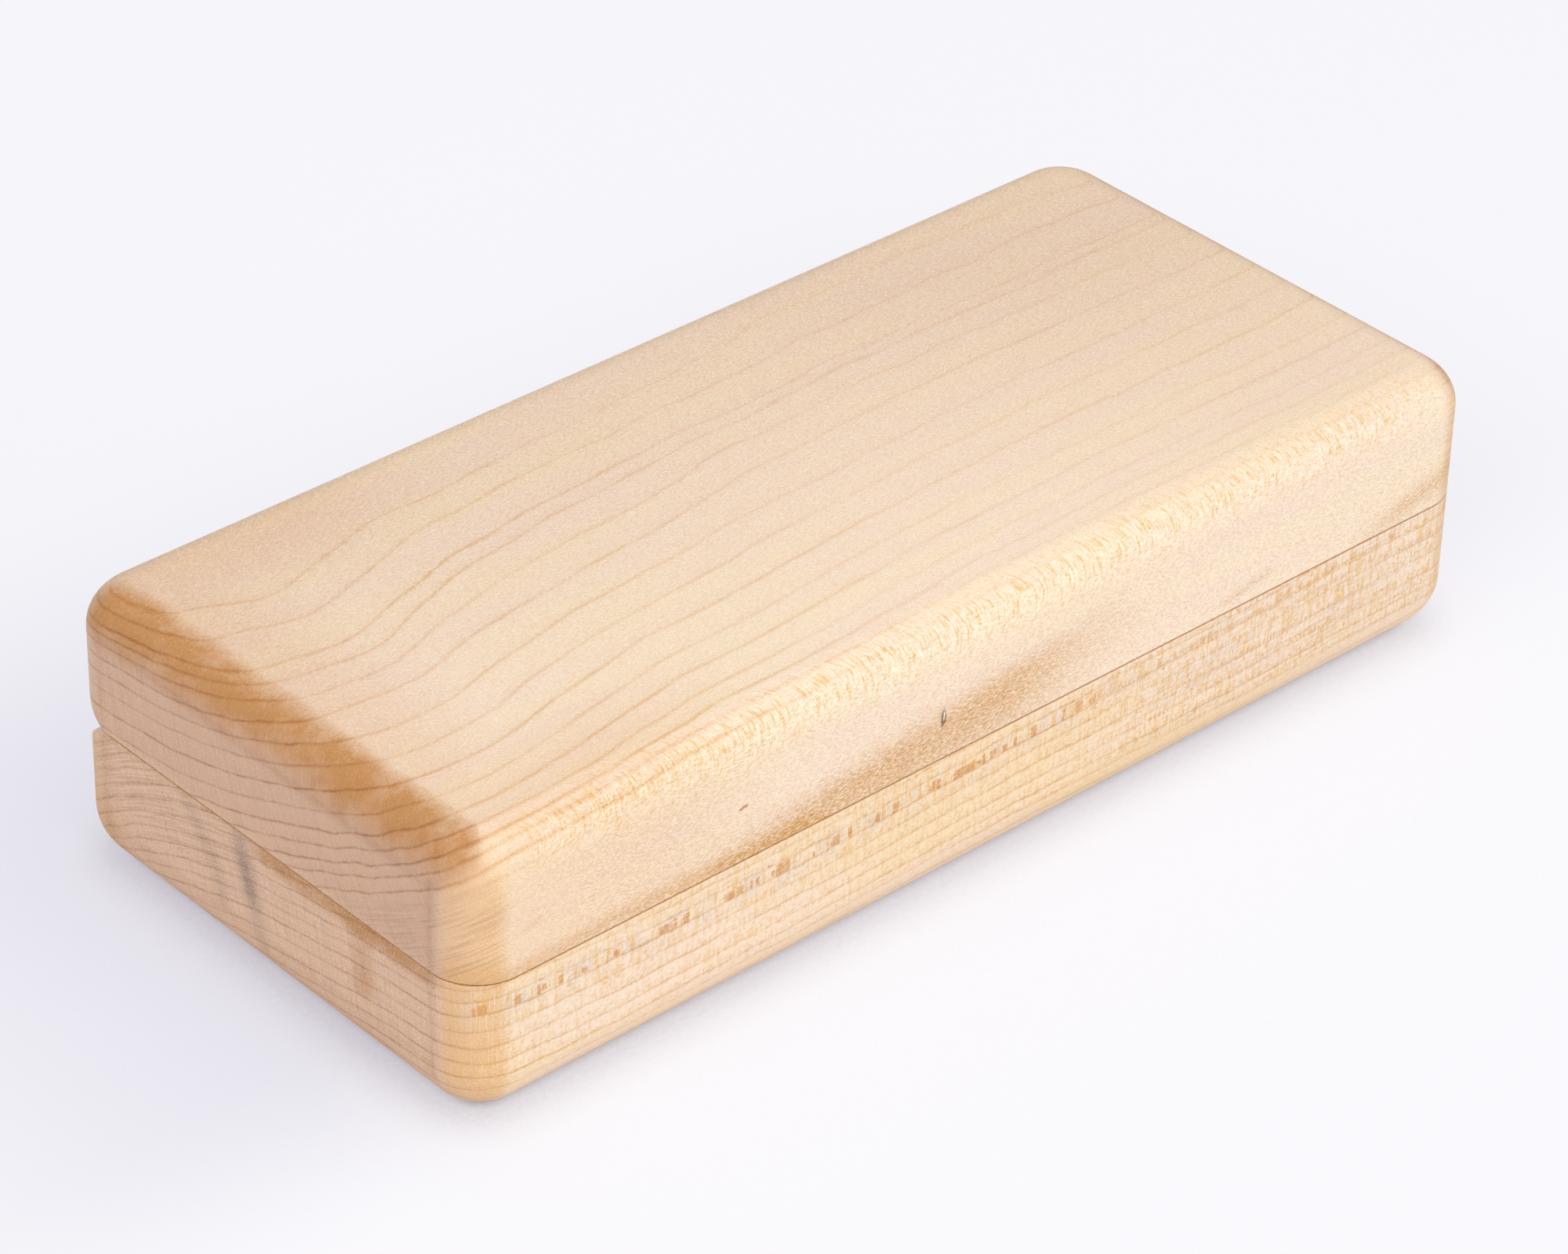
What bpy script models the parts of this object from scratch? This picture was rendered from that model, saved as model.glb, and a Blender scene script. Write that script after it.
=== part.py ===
"""Glasses case of solid maple, made of a base and a lid that are each hollowed out of one block.

The lid turns on two small brass butt hinges. They are let into the rims, and their knuckles lie
in the groove that the rounded back edges leave. Four magnets in the front rims hold the lid shut,
and felt lines both pockets. X runs along the case, Y from the front to the hinges, and Z up. The
origin is on the underside, below the middle of the case. All sizes are in metres.
"""

import math

import bmesh
import bpy
from mathutils import Matrix, Vector

# Outer shape of the closed case
LENGTH = 0.168
WIDTH = 0.077
BASE_HEIGHT = 0.021
LID_HEIGHT = 0.0187
SEAM_GAP = 0.0003
CORNER_RADIUS = 0.007
BASE_EDGE_RADIUS = 0.008
LID_EDGE_RADIUS = 0.006
BACK_ROUND_RADIUS = 0.0095

# Pockets, which are routed with a straight cutter
END_WALL = 0.008
FRONT_WALL = 0.008
BACK_WALL = 0.0165
BASE_FLOOR = 0.005
LID_ROOF = 0.0045
POCKET_CORNER_RADIUS = 0.010

# Felt lining
FLOOR_FELT_THICKNESS = 0.0015
WALL_FELT_THICKNESS = 0.0012
FELT_DROP = 0.001

# Butt hinges, whose pins lie in the seam
HINGE_SPACING = 0.092
HINGE_LENGTH = 0.022
PIN_INSET = 0.004
LEAF_WIDTH = 0.0105
LEAF_THICKNESS = 0.0009
KNUCKLE_RADIUS = 0.0022
MIDDLE_KNUCKLE_LENGTH = 0.0078
PIN_RADIUS = 0.0009
PIN_HEAD_RADIUS = 0.0016
PIN_HEAD_HEIGHT = 0.0006

# Countersunk screws, two in each leaf
SCREW_END_INSET = 0.0045
SCREW_INSET = 0.0032
SCREW_LENGTH = 0.0065
SCREW_TIP = 0.0015
SCREW_HEAD_RADIUS = 0.0015
SCREW_SHANK_RADIUS = 0.00075
SLOT_WIDTH = 0.0005
SLOT_DEPTH = 0.0004

# Magnets, one pair near each front corner
MAGNET_SPACING = 0.112
MAGNET_RADIUS = 0.0025
MAGNET_HEIGHT = 0.003
MAGNET_CHAMFER = 0.0002
MAGNET_DROP = 0.0001

# Gap between pieces that touch, and how far a cutter reaches past the face it cuts
CLEARANCE = 0.0003
REACH = 0.004

# Steps in a quarter turn of each kind of rounding and round a turned piece, and the least turn, in
# degrees, of an edge that is shaded as a real one
EDGE_STEPS = 8
POCKET_STEPS = 8
TURNED_STEPS = 24
REAL_EDGE_ANGLE = 32

# Places worked out from the sizes
BACK = WIDTH / 2
FRONT = -WIDTH / 2
BASE_RIM = BASE_HEIGHT
LID_RIM = BASE_HEIGHT + SEAM_GAP
TOP = LID_RIM + LID_HEIGHT
POCKET_LEFT = -LENGTH / 2 + END_WALL
POCKET_RIGHT = LENGTH / 2 - END_WALL
POCKET_FRONT = FRONT + FRONT_WALL
POCKET_BACK = BACK - BACK_WALL
POCKET_FLOOR = BASE_FLOOR
POCKET_ROOF = TOP - LID_ROOF
PIN_Y = BACK - PIN_INSET
PIN_Z = (BASE_RIM + LID_RIM) / 2
LEAF_EDGE = PIN_Y - LEAF_WIDTH
SCREW_Y = LEAF_EDGE + SCREW_INSET
MAGNET_Y = FRONT + FRONT_WALL / 2


def clear_scene():
    """Removes every object that the new scene starts with."""
    for obj in list(bpy.data.objects):
        bpy.data.objects.remove(obj, do_unlink=True)


def new_collection(name):
    """Makes a collection in the scene."""
    collection = bpy.data.collections.new(name)
    bpy.context.scene.collection.children.link(collection)
    return collection


def new_material(name, colour, roughness, metallic=0.0):
    """Makes a plain Principled material."""
    material = bpy.data.materials.new(name)
    material.use_nodes = True
    shader = material.node_tree.nodes["Principled BSDF"]
    shader.inputs["Base Color"].default_value = (*colour, 1.0)
    shader.inputs["Roughness"].default_value = roughness
    shader.inputs["Metallic"].default_value = metallic
    return material


class Half:
    """The base or the lid: where its pieces go, and which way is into its wood from the rim."""

    def __init__(self, name, rim, inward, parent):
        self.name = name
        self.rim = rim
        self.inward = inward
        self.parent = parent

    def depth(self, distance):
        """Height of a point that lies this far into the wood from the rim."""
        return self.rim + self.inward * distance


def keep(obj, collection, parent, material=None):
    """Puts an object in its collection, on its parent, where it already stands."""
    collection.objects.link(obj)
    if parent:
        obj.parent = parent
        obj.matrix_parent_inverse = parent.matrix_world.inverted()
    if material:
        obj.data.materials.append(material)
    return obj


def as_cutter(obj):
    """Marks an object as a cutter, which is left out of the finished model."""
    obj.hide_render = True
    obj.display_type = "WIRE"
    return obj


def join_with(obj, other, operation):
    """Adds a Boolean modifier that cuts the other object out of this one, or joins it on."""
    modifier = obj.modifiers.new(other.name, "BOOLEAN")
    modifier.operation = operation
    modifier.solver = "EXACT"
    modifier.object = other


def mesh_object(name, geometry):
    """Turns finished bmesh geometry into an object that is shaded smooth."""
    mesh = bpy.data.meshes.new(name)
    geometry.to_mesh(mesh)
    geometry.free()
    mesh.shade_smooth()
    return bpy.data.objects.new(name, mesh)


def show_real_edges():
    """Ends each piece's modifiers with one that keeps its real edges crisp when shaded."""
    for obj in CASE.objects:
        if obj.type == "MESH":
            split = obj.modifiers.new("Real edges", "EDGE_SPLIT")
            split.split_angle = math.radians(REAL_EDGE_ANGLE)


def box(name, low, high):
    """A box between two opposite corners."""
    geometry = bmesh.new()
    bmesh.ops.create_cube(geometry, size=1.0)
    size = Vector(high) - Vector(low)
    bmesh.ops.scale(geometry, vec=size, verts=geometry.verts)
    bmesh.ops.translate(geometry, vec=(Vector(low) + Vector(high)) / 2, verts=geometry.verts)
    return mesh_object(name, geometry)


def rod(name, radius, x_low, x_high, y, z):
    """A cylinder that lies along X."""
    geometry = bmesh.new()
    turn = Matrix.Rotation(math.radians(90), 4, "Y")
    bmesh.ops.create_cone(
        geometry, cap_ends=True, segments=TURNED_STEPS, radius1=radius, radius2=radius,
        depth=x_high - x_low, matrix=Matrix.Translation(((x_low + x_high) / 2, y, z)) @ turn,
    )
    return mesh_object(name, geometry)


def extruded(name, outline, along, flat=True):
    """Carries a closed outline along a vector. A flat one is solid, and the other is a bare wall."""
    geometry = bmesh.new()
    corners = [geometry.verts.new(point) for point in outline]
    if flat:
        face = geometry.faces.new(corners)
        made = bmesh.ops.extrude_face_region(geometry, geom=[face])
    else:
        pairs = zip(corners, corners[1:] + corners[:1])
        edges = [geometry.edges.new(pair) for pair in pairs]
        made = bmesh.ops.extrude_edge_only(geometry, edges=edges)
    moved = [item for item in made["geom"] if isinstance(item, bmesh.types.BMVert)]
    bmesh.ops.translate(geometry, vec=along, verts=moved)
    bmesh.ops.recalc_face_normals(geometry, faces=geometry.faces)
    return mesh_object(name, geometry)


def turned(name, profile):
    """A piece turned about its own Z axis. The profile gives (radius, height), from the top down."""
    geometry = bmesh.new()
    points = [geometry.verts.new((radius, 0.0, height)) for radius, height in profile]
    for pair in zip(points, points[1:]):
        geometry.edges.new(pair)
    obj = mesh_object(name, geometry)
    screw = obj.modifiers.new("Turn", "SCREW")
    screw.steps = TURNED_STEPS
    screw.render_steps = TURNED_STEPS
    screw.use_merge_vertices = True
    screw.merge_threshold = 0.00001
    screw.use_smooth_shade = True
    return obj


def pocket_outline(inset, height):
    """Outline of both pockets at one height, moved inwards by an inset."""
    radius = POCKET_CORNER_RADIUS - inset
    left = POCKET_LEFT + inset + radius
    right = POCKET_RIGHT - inset - radius
    front = POCKET_FRONT + inset + radius
    back = POCKET_BACK - inset - radius
    points = []
    for x, y, start in ((right, front, -90), (right, back, 0), (left, back, 90), (left, front, 180)):
        for step in range(POCKET_STEPS + 1):
            angle = math.radians(start + 90 * step / POCKET_STEPS)
            points.append((x + radius * math.cos(angle), y + radius * math.sin(angle), height))
    return points


def rounded_block(half, outer_height, edge_radius, material):
    """One half's block, with round upright corners and a round outer edge."""
    outer = half.depth(outer_height)
    low, high = sorted((half.rim, outer))
    obj = box(half.name, (-LENGTH / 2, FRONT, low), (LENGTH / 2, BACK, high))
    largest = max(CORNER_RADIUS, edge_radius)
    weights = obj.data.attributes.new("bevel_weight_edge", "FLOAT", "EDGE")
    for edge in obj.data.edges:
        ends = [obj.data.vertices[index].co.z for index in edge.vertices]
        if abs(ends[0] - ends[1]) > outer_height / 2:
            weights.data[edge.index].value = CORNER_RADIUS / largest
        elif abs(ends[0] - outer) < outer_height / 2:
            weights.data[edge.index].value = edge_radius / largest
    bevel = obj.modifiers.new("Round edges", "BEVEL")
    bevel.limit_method = "WEIGHT"
    bevel.width = largest
    bevel.segments = EDGE_STEPS
    bevel.use_clamp_overlap = False
    return keep(obj, CASE, half.parent, material)


def back_groove(half):
    """Cutter that rounds over one half's back edge at the seam, right through both ends."""
    x = -LENGTH / 2 - REACH
    middle_y = BACK - BACK_ROUND_RADIUS
    outline = [(x, BACK + REACH, half.depth(BACK_ROUND_RADIUS)), (x, BACK + REACH, half.depth(-REACH)),
               (x, middle_y, half.depth(-REACH))]
    for step in range(EDGE_STEPS + 1):
        angle = math.radians(90 * step / EDGE_STEPS)
        depth = BACK_ROUND_RADIUS * (1 - math.cos(angle))
        outline.append((x, middle_y + BACK_ROUND_RADIUS * math.sin(angle), half.depth(depth)))
    return extruded(half.name + "_groove", outline, (LENGTH + 2 * REACH, 0, 0))


def pocket(half, depth):
    """Cutter for one half's pocket."""
    outline = pocket_outline(0.0, half.depth(depth))
    return extruded(half.name + "_pocket", outline, (0, 0, -half.inward * (depth + REACH)))


def felt_floor(half, depth, material):
    """Felt sheet on the floor of a pocket."""
    inset = WALL_FELT_THICKNESS + 2 * CLEARANCE
    outline = pocket_outline(inset, half.depth(depth - CLEARANCE))
    obj = extruded(half.name + "_floor_felt", outline, (0, 0, -half.inward * FLOOR_FELT_THICKNESS))
    return keep(obj, CASE, half.parent, material)


def felt_wall(half, depth, material):
    """Felt strip round the wall of a pocket, a little below the rim."""
    outline = pocket_outline(CLEARANCE, half.depth(depth - CLEARANCE))
    rise = depth - CLEARANCE - FELT_DROP
    obj = extruded(half.name + "_wall_felt", outline, (0, 0, -half.inward * rise), flat=False)
    thick = obj.modifiers.new("Felt", "SOLIDIFY")
    thick.thickness = WALL_FELT_THICKNESS
    thick.offset = -1.0
    thick.use_even_offset = True
    return keep(obj, CASE, half.parent, material)


def magnet(half, side, x, material):
    """Disc magnet in the front rim, with the cutter of its hole."""
    profile = [
        (0, 0), (MAGNET_RADIUS - MAGNET_CHAMFER, 0), (MAGNET_RADIUS, -MAGNET_CHAMFER),
        (MAGNET_RADIUS, MAGNET_CHAMFER - MAGNET_HEIGHT),
        (MAGNET_RADIUS - MAGNET_CHAMFER, -MAGNET_HEIGHT), (0, -MAGNET_HEIGHT),
    ]
    obj = turned(half.name + "_magnet_" + side, profile)
    facing_rim(obj, half, x, MAGNET_Y, MAGNET_DROP)
    hole_radius = MAGNET_RADIUS + CLEARANCE
    hole_depth = -MAGNET_HEIGHT - CLEARANCE
    hole = turned(obj.name + "_hole", [(0, REACH), (hole_radius, REACH), (hole_radius, hole_depth), (0, hole_depth)])
    facing_rim(hole, half, x, MAGNET_Y, MAGNET_DROP)
    return keep(obj, CASE, half.parent, material), hole


def facing_rim(obj, half, x, y, drop):
    """Stands a turned piece in the wood, with its top this far below the rim."""
    obj.location = (x, y, half.depth(drop))
    if half.inward > 0:
        obj.rotation_euler = (math.pi, 0, 0)


def screw_profile(gap, rise):
    """Outline of a countersunk screw, grown by a gap, with its head carried up by a rise."""
    head = SCREW_HEAD_RADIUS + gap
    shank = SCREW_SHANK_RADIUS + gap
    neck = SCREW_SHANK_RADIUS - SCREW_HEAD_RADIUS
    tip = -SCREW_LENGTH - gap
    top = [(0, rise), (head, rise), (head, 0)] if rise else [(0, 0), (head, 0)]
    return top + [(shank, neck), (shank, tip + SCREW_TIP), (0, tip)]


def screw(half, name, x, material):
    """A slotted screw whose head ends flush with the rim, with the cutter of its hole."""
    obj = turned(name, screw_profile(0.0, 0.0))
    facing_rim(obj, half, x, SCREW_Y, 0.0)
    reach = SCREW_HEAD_RADIUS + CLEARANCE
    low, high = sorted((half.depth(SLOT_DEPTH), half.depth(-REACH)))
    slot = box(name + "_slot", (x - reach, SCREW_Y - SLOT_WIDTH / 2, low),
               (x + reach, SCREW_Y + SLOT_WIDTH / 2, high))
    join_with(obj, keep(as_cutter(slot), CUTTERS, half.parent), "DIFFERENCE")
    keep(obj, CASE, half.parent, material)
    hole = turned(name + "_hole", screw_profile(CLEARANCE, REACH))
    facing_rim(hole, half, x, SCREW_Y, 0.0)
    return keep(as_cutter(hole), CUTTERS, half.parent)


def screws(half, side, x_middle, material):
    """The two screws of one leaf. It returns the cutters of their holes."""
    name = "hinge_" + side + "_" + half.name + "_screw_"
    reach = HINGE_LENGTH / 2 - SCREW_END_INSET
    places = enumerate((x_middle - reach, x_middle + reach), 1)
    return [screw(half, name + str(number), x, material) for number, x in places]


def knuckle_spans(half, x_middle):
    """Stretches of the pin that one leaf's knuckles take: the base has the outer two."""
    middle = MIDDLE_KNUCKLE_LENGTH / 2
    end = HINGE_LENGTH / 2
    if half.name == "lid":
        return [(x_middle - middle, x_middle + middle)]
    gap = middle + CLEARANCE
    return [(x_middle - end, x_middle - gap), (x_middle + gap, x_middle + end)]


def leaf(half, other, side, x_middle, holes, material):
    """One leaf of a hinge: a plate, its knuckles, the bore for the pin and the screw holes."""
    name = "hinge_" + side + "_" + half.name + "_leaf"
    low, high = sorted((half.rim, half.depth(LEAF_THICKNESS)))
    wall_middle = (KNUCKLE_RADIUS + PIN_RADIUS + CLEARANCE) / 2
    obj = box(name, (x_middle - HINGE_LENGTH / 2, LEAF_EDGE, low),
              (x_middle + HINGE_LENGTH / 2, PIN_Y - wall_middle, high))
    for start, end in knuckle_spans(other, x_middle):
        room = rod(name + "_room", KNUCKLE_RADIUS + CLEARANCE, start - CLEARANCE, end + CLEARANCE,
                   PIN_Y, PIN_Z)
        join_with(obj, keep(as_cutter(room), CUTTERS, half.parent), "DIFFERENCE")
    for start, end in knuckle_spans(half, x_middle):
        knuckle = rod(name + "_knuckle", KNUCKLE_RADIUS, start, end, PIN_Y, PIN_Z)
        join_with(obj, keep(as_cutter(knuckle), CUTTERS, half.parent), "UNION")
    bore = rod(name + "_bore", PIN_RADIUS + CLEARANCE, x_middle - HINGE_LENGTH / 2 - REACH,
               x_middle + HINGE_LENGTH / 2 + REACH, PIN_Y, PIN_Z)
    join_with(obj, keep(as_cutter(bore), CUTTERS, half.parent), "DIFFERENCE")
    for hole in holes:
        join_with(obj, hole, "DIFFERENCE")
    return keep(obj, CASE, half.parent, material)


def hinge_pin(side, x_middle, material):
    """Hinge pin with a low round head at each end. It stays with the base."""
    end = HINGE_LENGTH / 2 + CLEARANCE
    half_profile = [
        (0, end + PIN_HEAD_HEIGHT), (PIN_HEAD_RADIUS * 0.7, end + PIN_HEAD_HEIGHT),
        (PIN_HEAD_RADIUS, end + PIN_HEAD_HEIGHT / 2), (PIN_HEAD_RADIUS, end), (PIN_RADIUS, end),
    ]
    profile = half_profile + [(radius, -height) for radius, height in reversed(half_profile)]
    obj = turned("hinge_" + side + "_pin", profile)
    obj.location = (x_middle, PIN_Y, PIN_Z)
    obj.rotation_euler = (0, math.radians(90), 0)
    return keep(obj, CASE, None, material)


def hinge_recess(half, side, x_middle):
    """Cutters for the mortise that takes a leaf and the trough that takes the knuckles."""
    name = "hinge_" + side + "_" + half.name
    low, high = sorted((half.depth(LEAF_THICKNESS + CLEARANCE), half.depth(-REACH)))
    reach = HINGE_LENGTH / 2 + CLEARANCE
    mortise = box(name + "_mortise", (x_middle - reach, LEAF_EDGE - CLEARANCE, low),
                  (x_middle + reach, PIN_Y, high))
    reach = HINGE_LENGTH / 2 + PIN_HEAD_HEIGHT + 2 * CLEARANCE
    trough = rod(name + "_trough", KNUCKLE_RADIUS + CLEARANCE, x_middle - reach, x_middle + reach,
                 PIN_Y, PIN_Z)
    return [keep(as_cutter(cutter), CUTTERS, half.parent) for cutter in (mortise, trough)]


def lid_axis():
    """Empty on the hinge pins, which carries every piece of the lid."""
    axis = bpy.data.objects.new("lid_axis", None)
    axis.empty_display_size = 0.02
    axis.location = (0, PIN_Y, PIN_Z)
    CASE.objects.link(axis)
    bpy.context.view_layer.update()
    return axis


def build_half(half, outer_height, pocket_depth, edge_radius, materials):
    """One half of the case without its hinge pieces. It returns the block."""
    block = rounded_block(half, outer_height, edge_radius, materials["maple"])
    for cutter in (back_groove(half), pocket(half, pocket_depth)):
        join_with(block, keep(as_cutter(cutter), CUTTERS, half.parent), "DIFFERENCE")
    felt_floor(half, pocket_depth, materials["felt"])
    felt_wall(half, pocket_depth, materials["felt"])
    for side, x in (("left", -MAGNET_SPACING / 2), ("right", MAGNET_SPACING / 2)):
        hole = magnet(half, side, x, materials["magnet"])[1]
        join_with(block, keep(as_cutter(hole), CUTTERS, half.parent), "DIFFERENCE")
    return block


def build_hinge(side, x_middle, halves, blocks, materials):
    """Both leaves of one hinge with their screws, the pin, and the recesses in both blocks."""
    for half, other in (halves, reversed(halves)):
        holes = screws(half, side, x_middle, materials["brass"])
        for cutter in hinge_recess(half, side, x_middle) + holes:
            join_with(blocks[half.name], cutter, "DIFFERENCE")
        leaf(half, other, side, x_middle, holes, materials["brass"])
    hinge_pin(side, x_middle, materials["brass"])


def build_case():
    """The whole closed case."""
    materials = {
        "maple": new_material("maple", (0.80, 0.62, 0.44), 0.45),
        "brass": new_material("brass", (0.72, 0.52, 0.22), 0.30, 1.0),
        "magnet": new_material("magnet", (0.62, 0.62, 0.60), 0.20, 1.0),
        "felt": new_material("felt", (0.14, 0.15, 0.15), 0.95),
    }
    base = Half("base", BASE_RIM, -1, None)
    lid = Half("lid", LID_RIM, 1, lid_axis())
    blocks = {
        "base": build_half(base, BASE_HEIGHT, BASE_RIM - POCKET_FLOOR, BASE_EDGE_RADIUS, materials),
        "lid": build_half(lid, LID_HEIGHT, POCKET_ROOF - LID_RIM, LID_EDGE_RADIUS, materials),
    }
    for side, x_middle in (("left", -HINGE_SPACING / 2), ("right", HINGE_SPACING / 2)):
        build_hinge(side, x_middle, (base, lid), blocks, materials)
    show_real_edges()


clear_scene()
CASE = new_collection("Glasses case")
CUTTERS = new_collection("Cutters")
CUTTERS.hide_render = True
build_case()
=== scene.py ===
"""Looks of a glasses case of solid maple, laid over its packed CAD frame.

Both blocks are computed as surfaces: an outline with round corners is carried along a profile that
runs from the outer face over the edge, up the side, across the rim and down into the pocket. The
wood is solid. For every point of a block the growth ring that it lies in is worked out from how the
block was sawn from its log, and the finish draws its lines, rays and end grain from that. X runs
along the case, Y from the front to the hinges, and Z up. Sizes are in metres, and the wood's own
figures are in millimetres.
"""

import math

import bmesh
import bpy
import numpy as np
from bpy.props import FloatProperty, FloatVectorProperty, IntProperty, PointerProperty
from mathutils import Matrix, Vector


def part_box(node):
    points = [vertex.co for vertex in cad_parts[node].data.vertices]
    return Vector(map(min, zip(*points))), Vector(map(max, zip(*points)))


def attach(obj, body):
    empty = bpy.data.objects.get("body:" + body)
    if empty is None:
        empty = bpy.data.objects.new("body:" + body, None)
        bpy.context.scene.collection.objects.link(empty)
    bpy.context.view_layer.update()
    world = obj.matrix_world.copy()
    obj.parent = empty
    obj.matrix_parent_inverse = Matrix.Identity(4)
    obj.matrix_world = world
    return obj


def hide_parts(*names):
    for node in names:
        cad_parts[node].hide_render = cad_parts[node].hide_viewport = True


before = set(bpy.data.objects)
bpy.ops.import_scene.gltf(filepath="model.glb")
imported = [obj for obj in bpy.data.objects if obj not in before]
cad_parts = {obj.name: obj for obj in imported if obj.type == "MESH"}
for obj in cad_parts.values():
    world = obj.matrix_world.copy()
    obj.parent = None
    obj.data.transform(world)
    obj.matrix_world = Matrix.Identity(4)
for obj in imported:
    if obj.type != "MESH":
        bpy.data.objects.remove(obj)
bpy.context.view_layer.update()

bl_info = {
    "name": "Maple glasses case",
    "version": (1, 0, 0),
    "blender": (4, 5, 0),
    "location": "View3D > Sidebar > Glasses case",
    "description": "Maple blocks, felt lining, brass hinges and magnets of a glasses case",
    "category": "Object",
}

# Places that come from the frame
BASE_LOW, BASE_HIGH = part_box("base")
LID_LOW, LID_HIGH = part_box("lid")
HALF_LENGTH = BASE_HIGH.x
FRONT = BASE_LOW.y
BACK = BASE_HIGH.y
SEAM_CLOSER = 0.0001
BASE_RIM = BASE_HIGH.z + SEAM_CLOSER
LID_RIM = LID_LOW.z - SEAM_CLOSER
TOP = LID_HIGH.z
MILLIMETRE = 0.001

# Pocket of both halves, and the recesses that are let into the rims
POCKET_HALF_LENGTH = 0.076
POCKET_FRONT = -0.0305
POCKET_BACK = 0.022
POCKET_CORNER = 0.010
POCKET_FLOOR = 0.005
POCKET_ROOF = 0.0355
PIN_Y = 0.0345
PIN_Z = 0.02115
HINGE_MIDDLE = 0.046
HINGE_HALF_LENGTH = 0.011
LEAF_EDGE = 0.024
LEAF_THICKNESS = 0.0009
KNUCKLE_ROOM = 0.0025
TROUGH_HALF_LENGTH = 0.0122
SCREW_HALF_SPACING = 0.0065
SCREW_Y = 0.0272
SCREW_DEPTH = 0.0068
SCREW_HOLE = 0.00105
MAGNET_X = 0.056
MAGNET_Y = -0.0345
MAGNET_HOLE = 0.0028
MAGNET_DEPTH = 0.0034
GAP = 0.0003

# Felt: the room round a floor sheet, thicknesses, and the radii of soft edges
FLOOR_INSET = 0.0018
FLOOR_THICKNESS = 0.0015
FELT_EDGE = 0.0006
STRIP_THICKNESS = 0.0012
STRIP_EDGE = 0.00042
STRIP_BELOW_RIM = 0.001

# Stage: half the cloth's width, the slant and spacing of its threads, and where the lamps point
CLOTH_REACH = 3.0
THREAD_SLANT = math.radians(24)
WARP_PITCH = 0.00032
WEFT_PITCH = 0.00036
LAMP_TARGET = (0, 0, 0.02)

# Fineness of the meshes, the distance within which points are merged, and a cut's start above the rim
ARC_STEPS = 10
EDGE_STEPS = 15
SIDE_STEPS = 6
BACK_STEPS = 23
POCKET_STEPS = 5
RIM_STEPS = 12
MERGED = 2e-6
CUT_ABOVE_RIM = 0.004

# Log, in millimetres: reach and steps of its tables, and spacing of the rings below and above its sections
LOG_REACH = 60.0
LOG_STEPS = 601
RING_BELOW = 2.3
RING_ABOVE = 2.1

# Marks that a block's finish reads from its points, painted light and painted shade among them
MASKS = (
    "end", "gold", "warm", "stain", "facet", "mineral", "strength", "fine", "arcs", "dashes", "accent",
    "lilac", "seam", "pale", "tan", "shut", "grit",
)

# Camera that was fitted to the photographed outline: its place, its three directions and its lens
CAMERA_PLACE = (-0.406863, -0.438440, 0.419743)
CAMERA_RIGHT = (0.74352186, -0.66837294, 0.02128048)
CAMERA_UP = (0.36096985, 0.42793756, 0.82859532)
CAMERA_BACK = (-0.56291741, -0.60839712, 0.55944341)
CAMERA_LENS = 131.012
CAMERA_SENSOR = 36.0


# Sizes and colours that a user would change


def shade(red, green, blue):
    """Linear colour of a shade that is given as it reads on a screen, from 0 to 255."""
    levels = np.array((red, green, blue)) / 255.0
    return tuple(np.where(levels <= 0.04045, levels / 12.92, ((levels + 0.055) / 1.055) ** 2.4))


def colour_property(name, description, red, green, blue):
    """A colour that the user may change."""
    return FloatVectorProperty(
        name=name, description=description, subtype="COLOR", size=3, min=0.0, max=1.0,
        default=shade(red, green, blue),
    )


def length_property(name, description, default):
    """A length in metres that the user may change."""
    return FloatProperty(
        name=name, description=description, default=default, min=0.0, unit="LENGTH", precision=5,
    )


class CaseSizes(bpy.types.PropertyGroup):
    """Roundings and fineness of the blocks."""

    corner: length_property("Upright corners", "Radius of the four upright corners", 0.007)
    base_edge: length_property("Bottom edge", "Radius along the edge of the underside", 0.008)
    lid_edge: length_property("Top edge", "Radius along the edge of the lid's top", 0.006)
    back_round: length_property("Hinge side", "Radius of the back edges at the seam", 0.0095)
    arris: length_property("Eased seam", "Radius of the sanded edges at the seam", 0.0002)
    pocket_arris: length_property("Eased pocket", "Radius of the pocket's upper edge", 0.0005)
    front_steps: IntProperty(
        name="Steps along", description="Mesh steps along one long side", default=134, min=20,
    )
    end_steps: IntProperty(
        name="Steps across", description="Mesh steps along one end", default=60, min=10,
    )


class MapleColours(bpy.types.PropertyGroup):
    """Shades of the oiled maple."""

    cream: colour_property("Cream", "Ground colour of the lid's long grain", 249, 229, 201)
    pink: colour_property("Pink cast", "Second colour of the long grain", 248, 226, 205)
    straw: colour_property("Straw", "Ground colour of the base's long grain", 247, 221, 182)
    amber: colour_property("Amber", "Where the oil darkened the round corners", 240, 200, 150)
    peach: colour_property("Seam strip", "Strip beside the seam", 246, 222, 180)
    end: colour_property("Lid's end grain", "Colour of the lid's end grain", 220, 180, 152)
    base_end: colour_property("Base's end grain", "Colour of the base's end grain", 230, 192, 163)
    gold: colour_property("Golden band", "Where the end grain drank more oil", 198, 143, 88)
    ray: colour_property("Rays", "Colour of the ray flecks", 236, 193, 124)
    dark_ray: colour_property("Dark rays", "Colour of the strongest ray flecks", 217, 156, 85)
    speck: colour_property("Speck", "Small orange dashes on the base's front", 232, 176, 120)
    pale_ray: colour_property("Pale rays", "Colour of the white pinstripes", 252, 240, 222)
    lilac: colour_property("Lilac cast", "Grey ground between the dark rays", 225, 208, 197)
    stain: colour_property("Brown streak", "Colour of the streak on the lid's front", 216, 164, 98)
    mineral: colour_property("Mineral streak", "Grey streak in the base's end", 128, 104, 92)
    knot: colour_property("Knot", "Colour of the pin knots", 122, 92, 66)
    # Painted shade: the seam's hairline is shade in the gap, painted in this brown on the rims' eased edges;
    # the lid's slanting dash borrows the colour
    shut: colour_property("Seam", "Colour of the hairline at the seam", 196, 140, 88)


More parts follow.
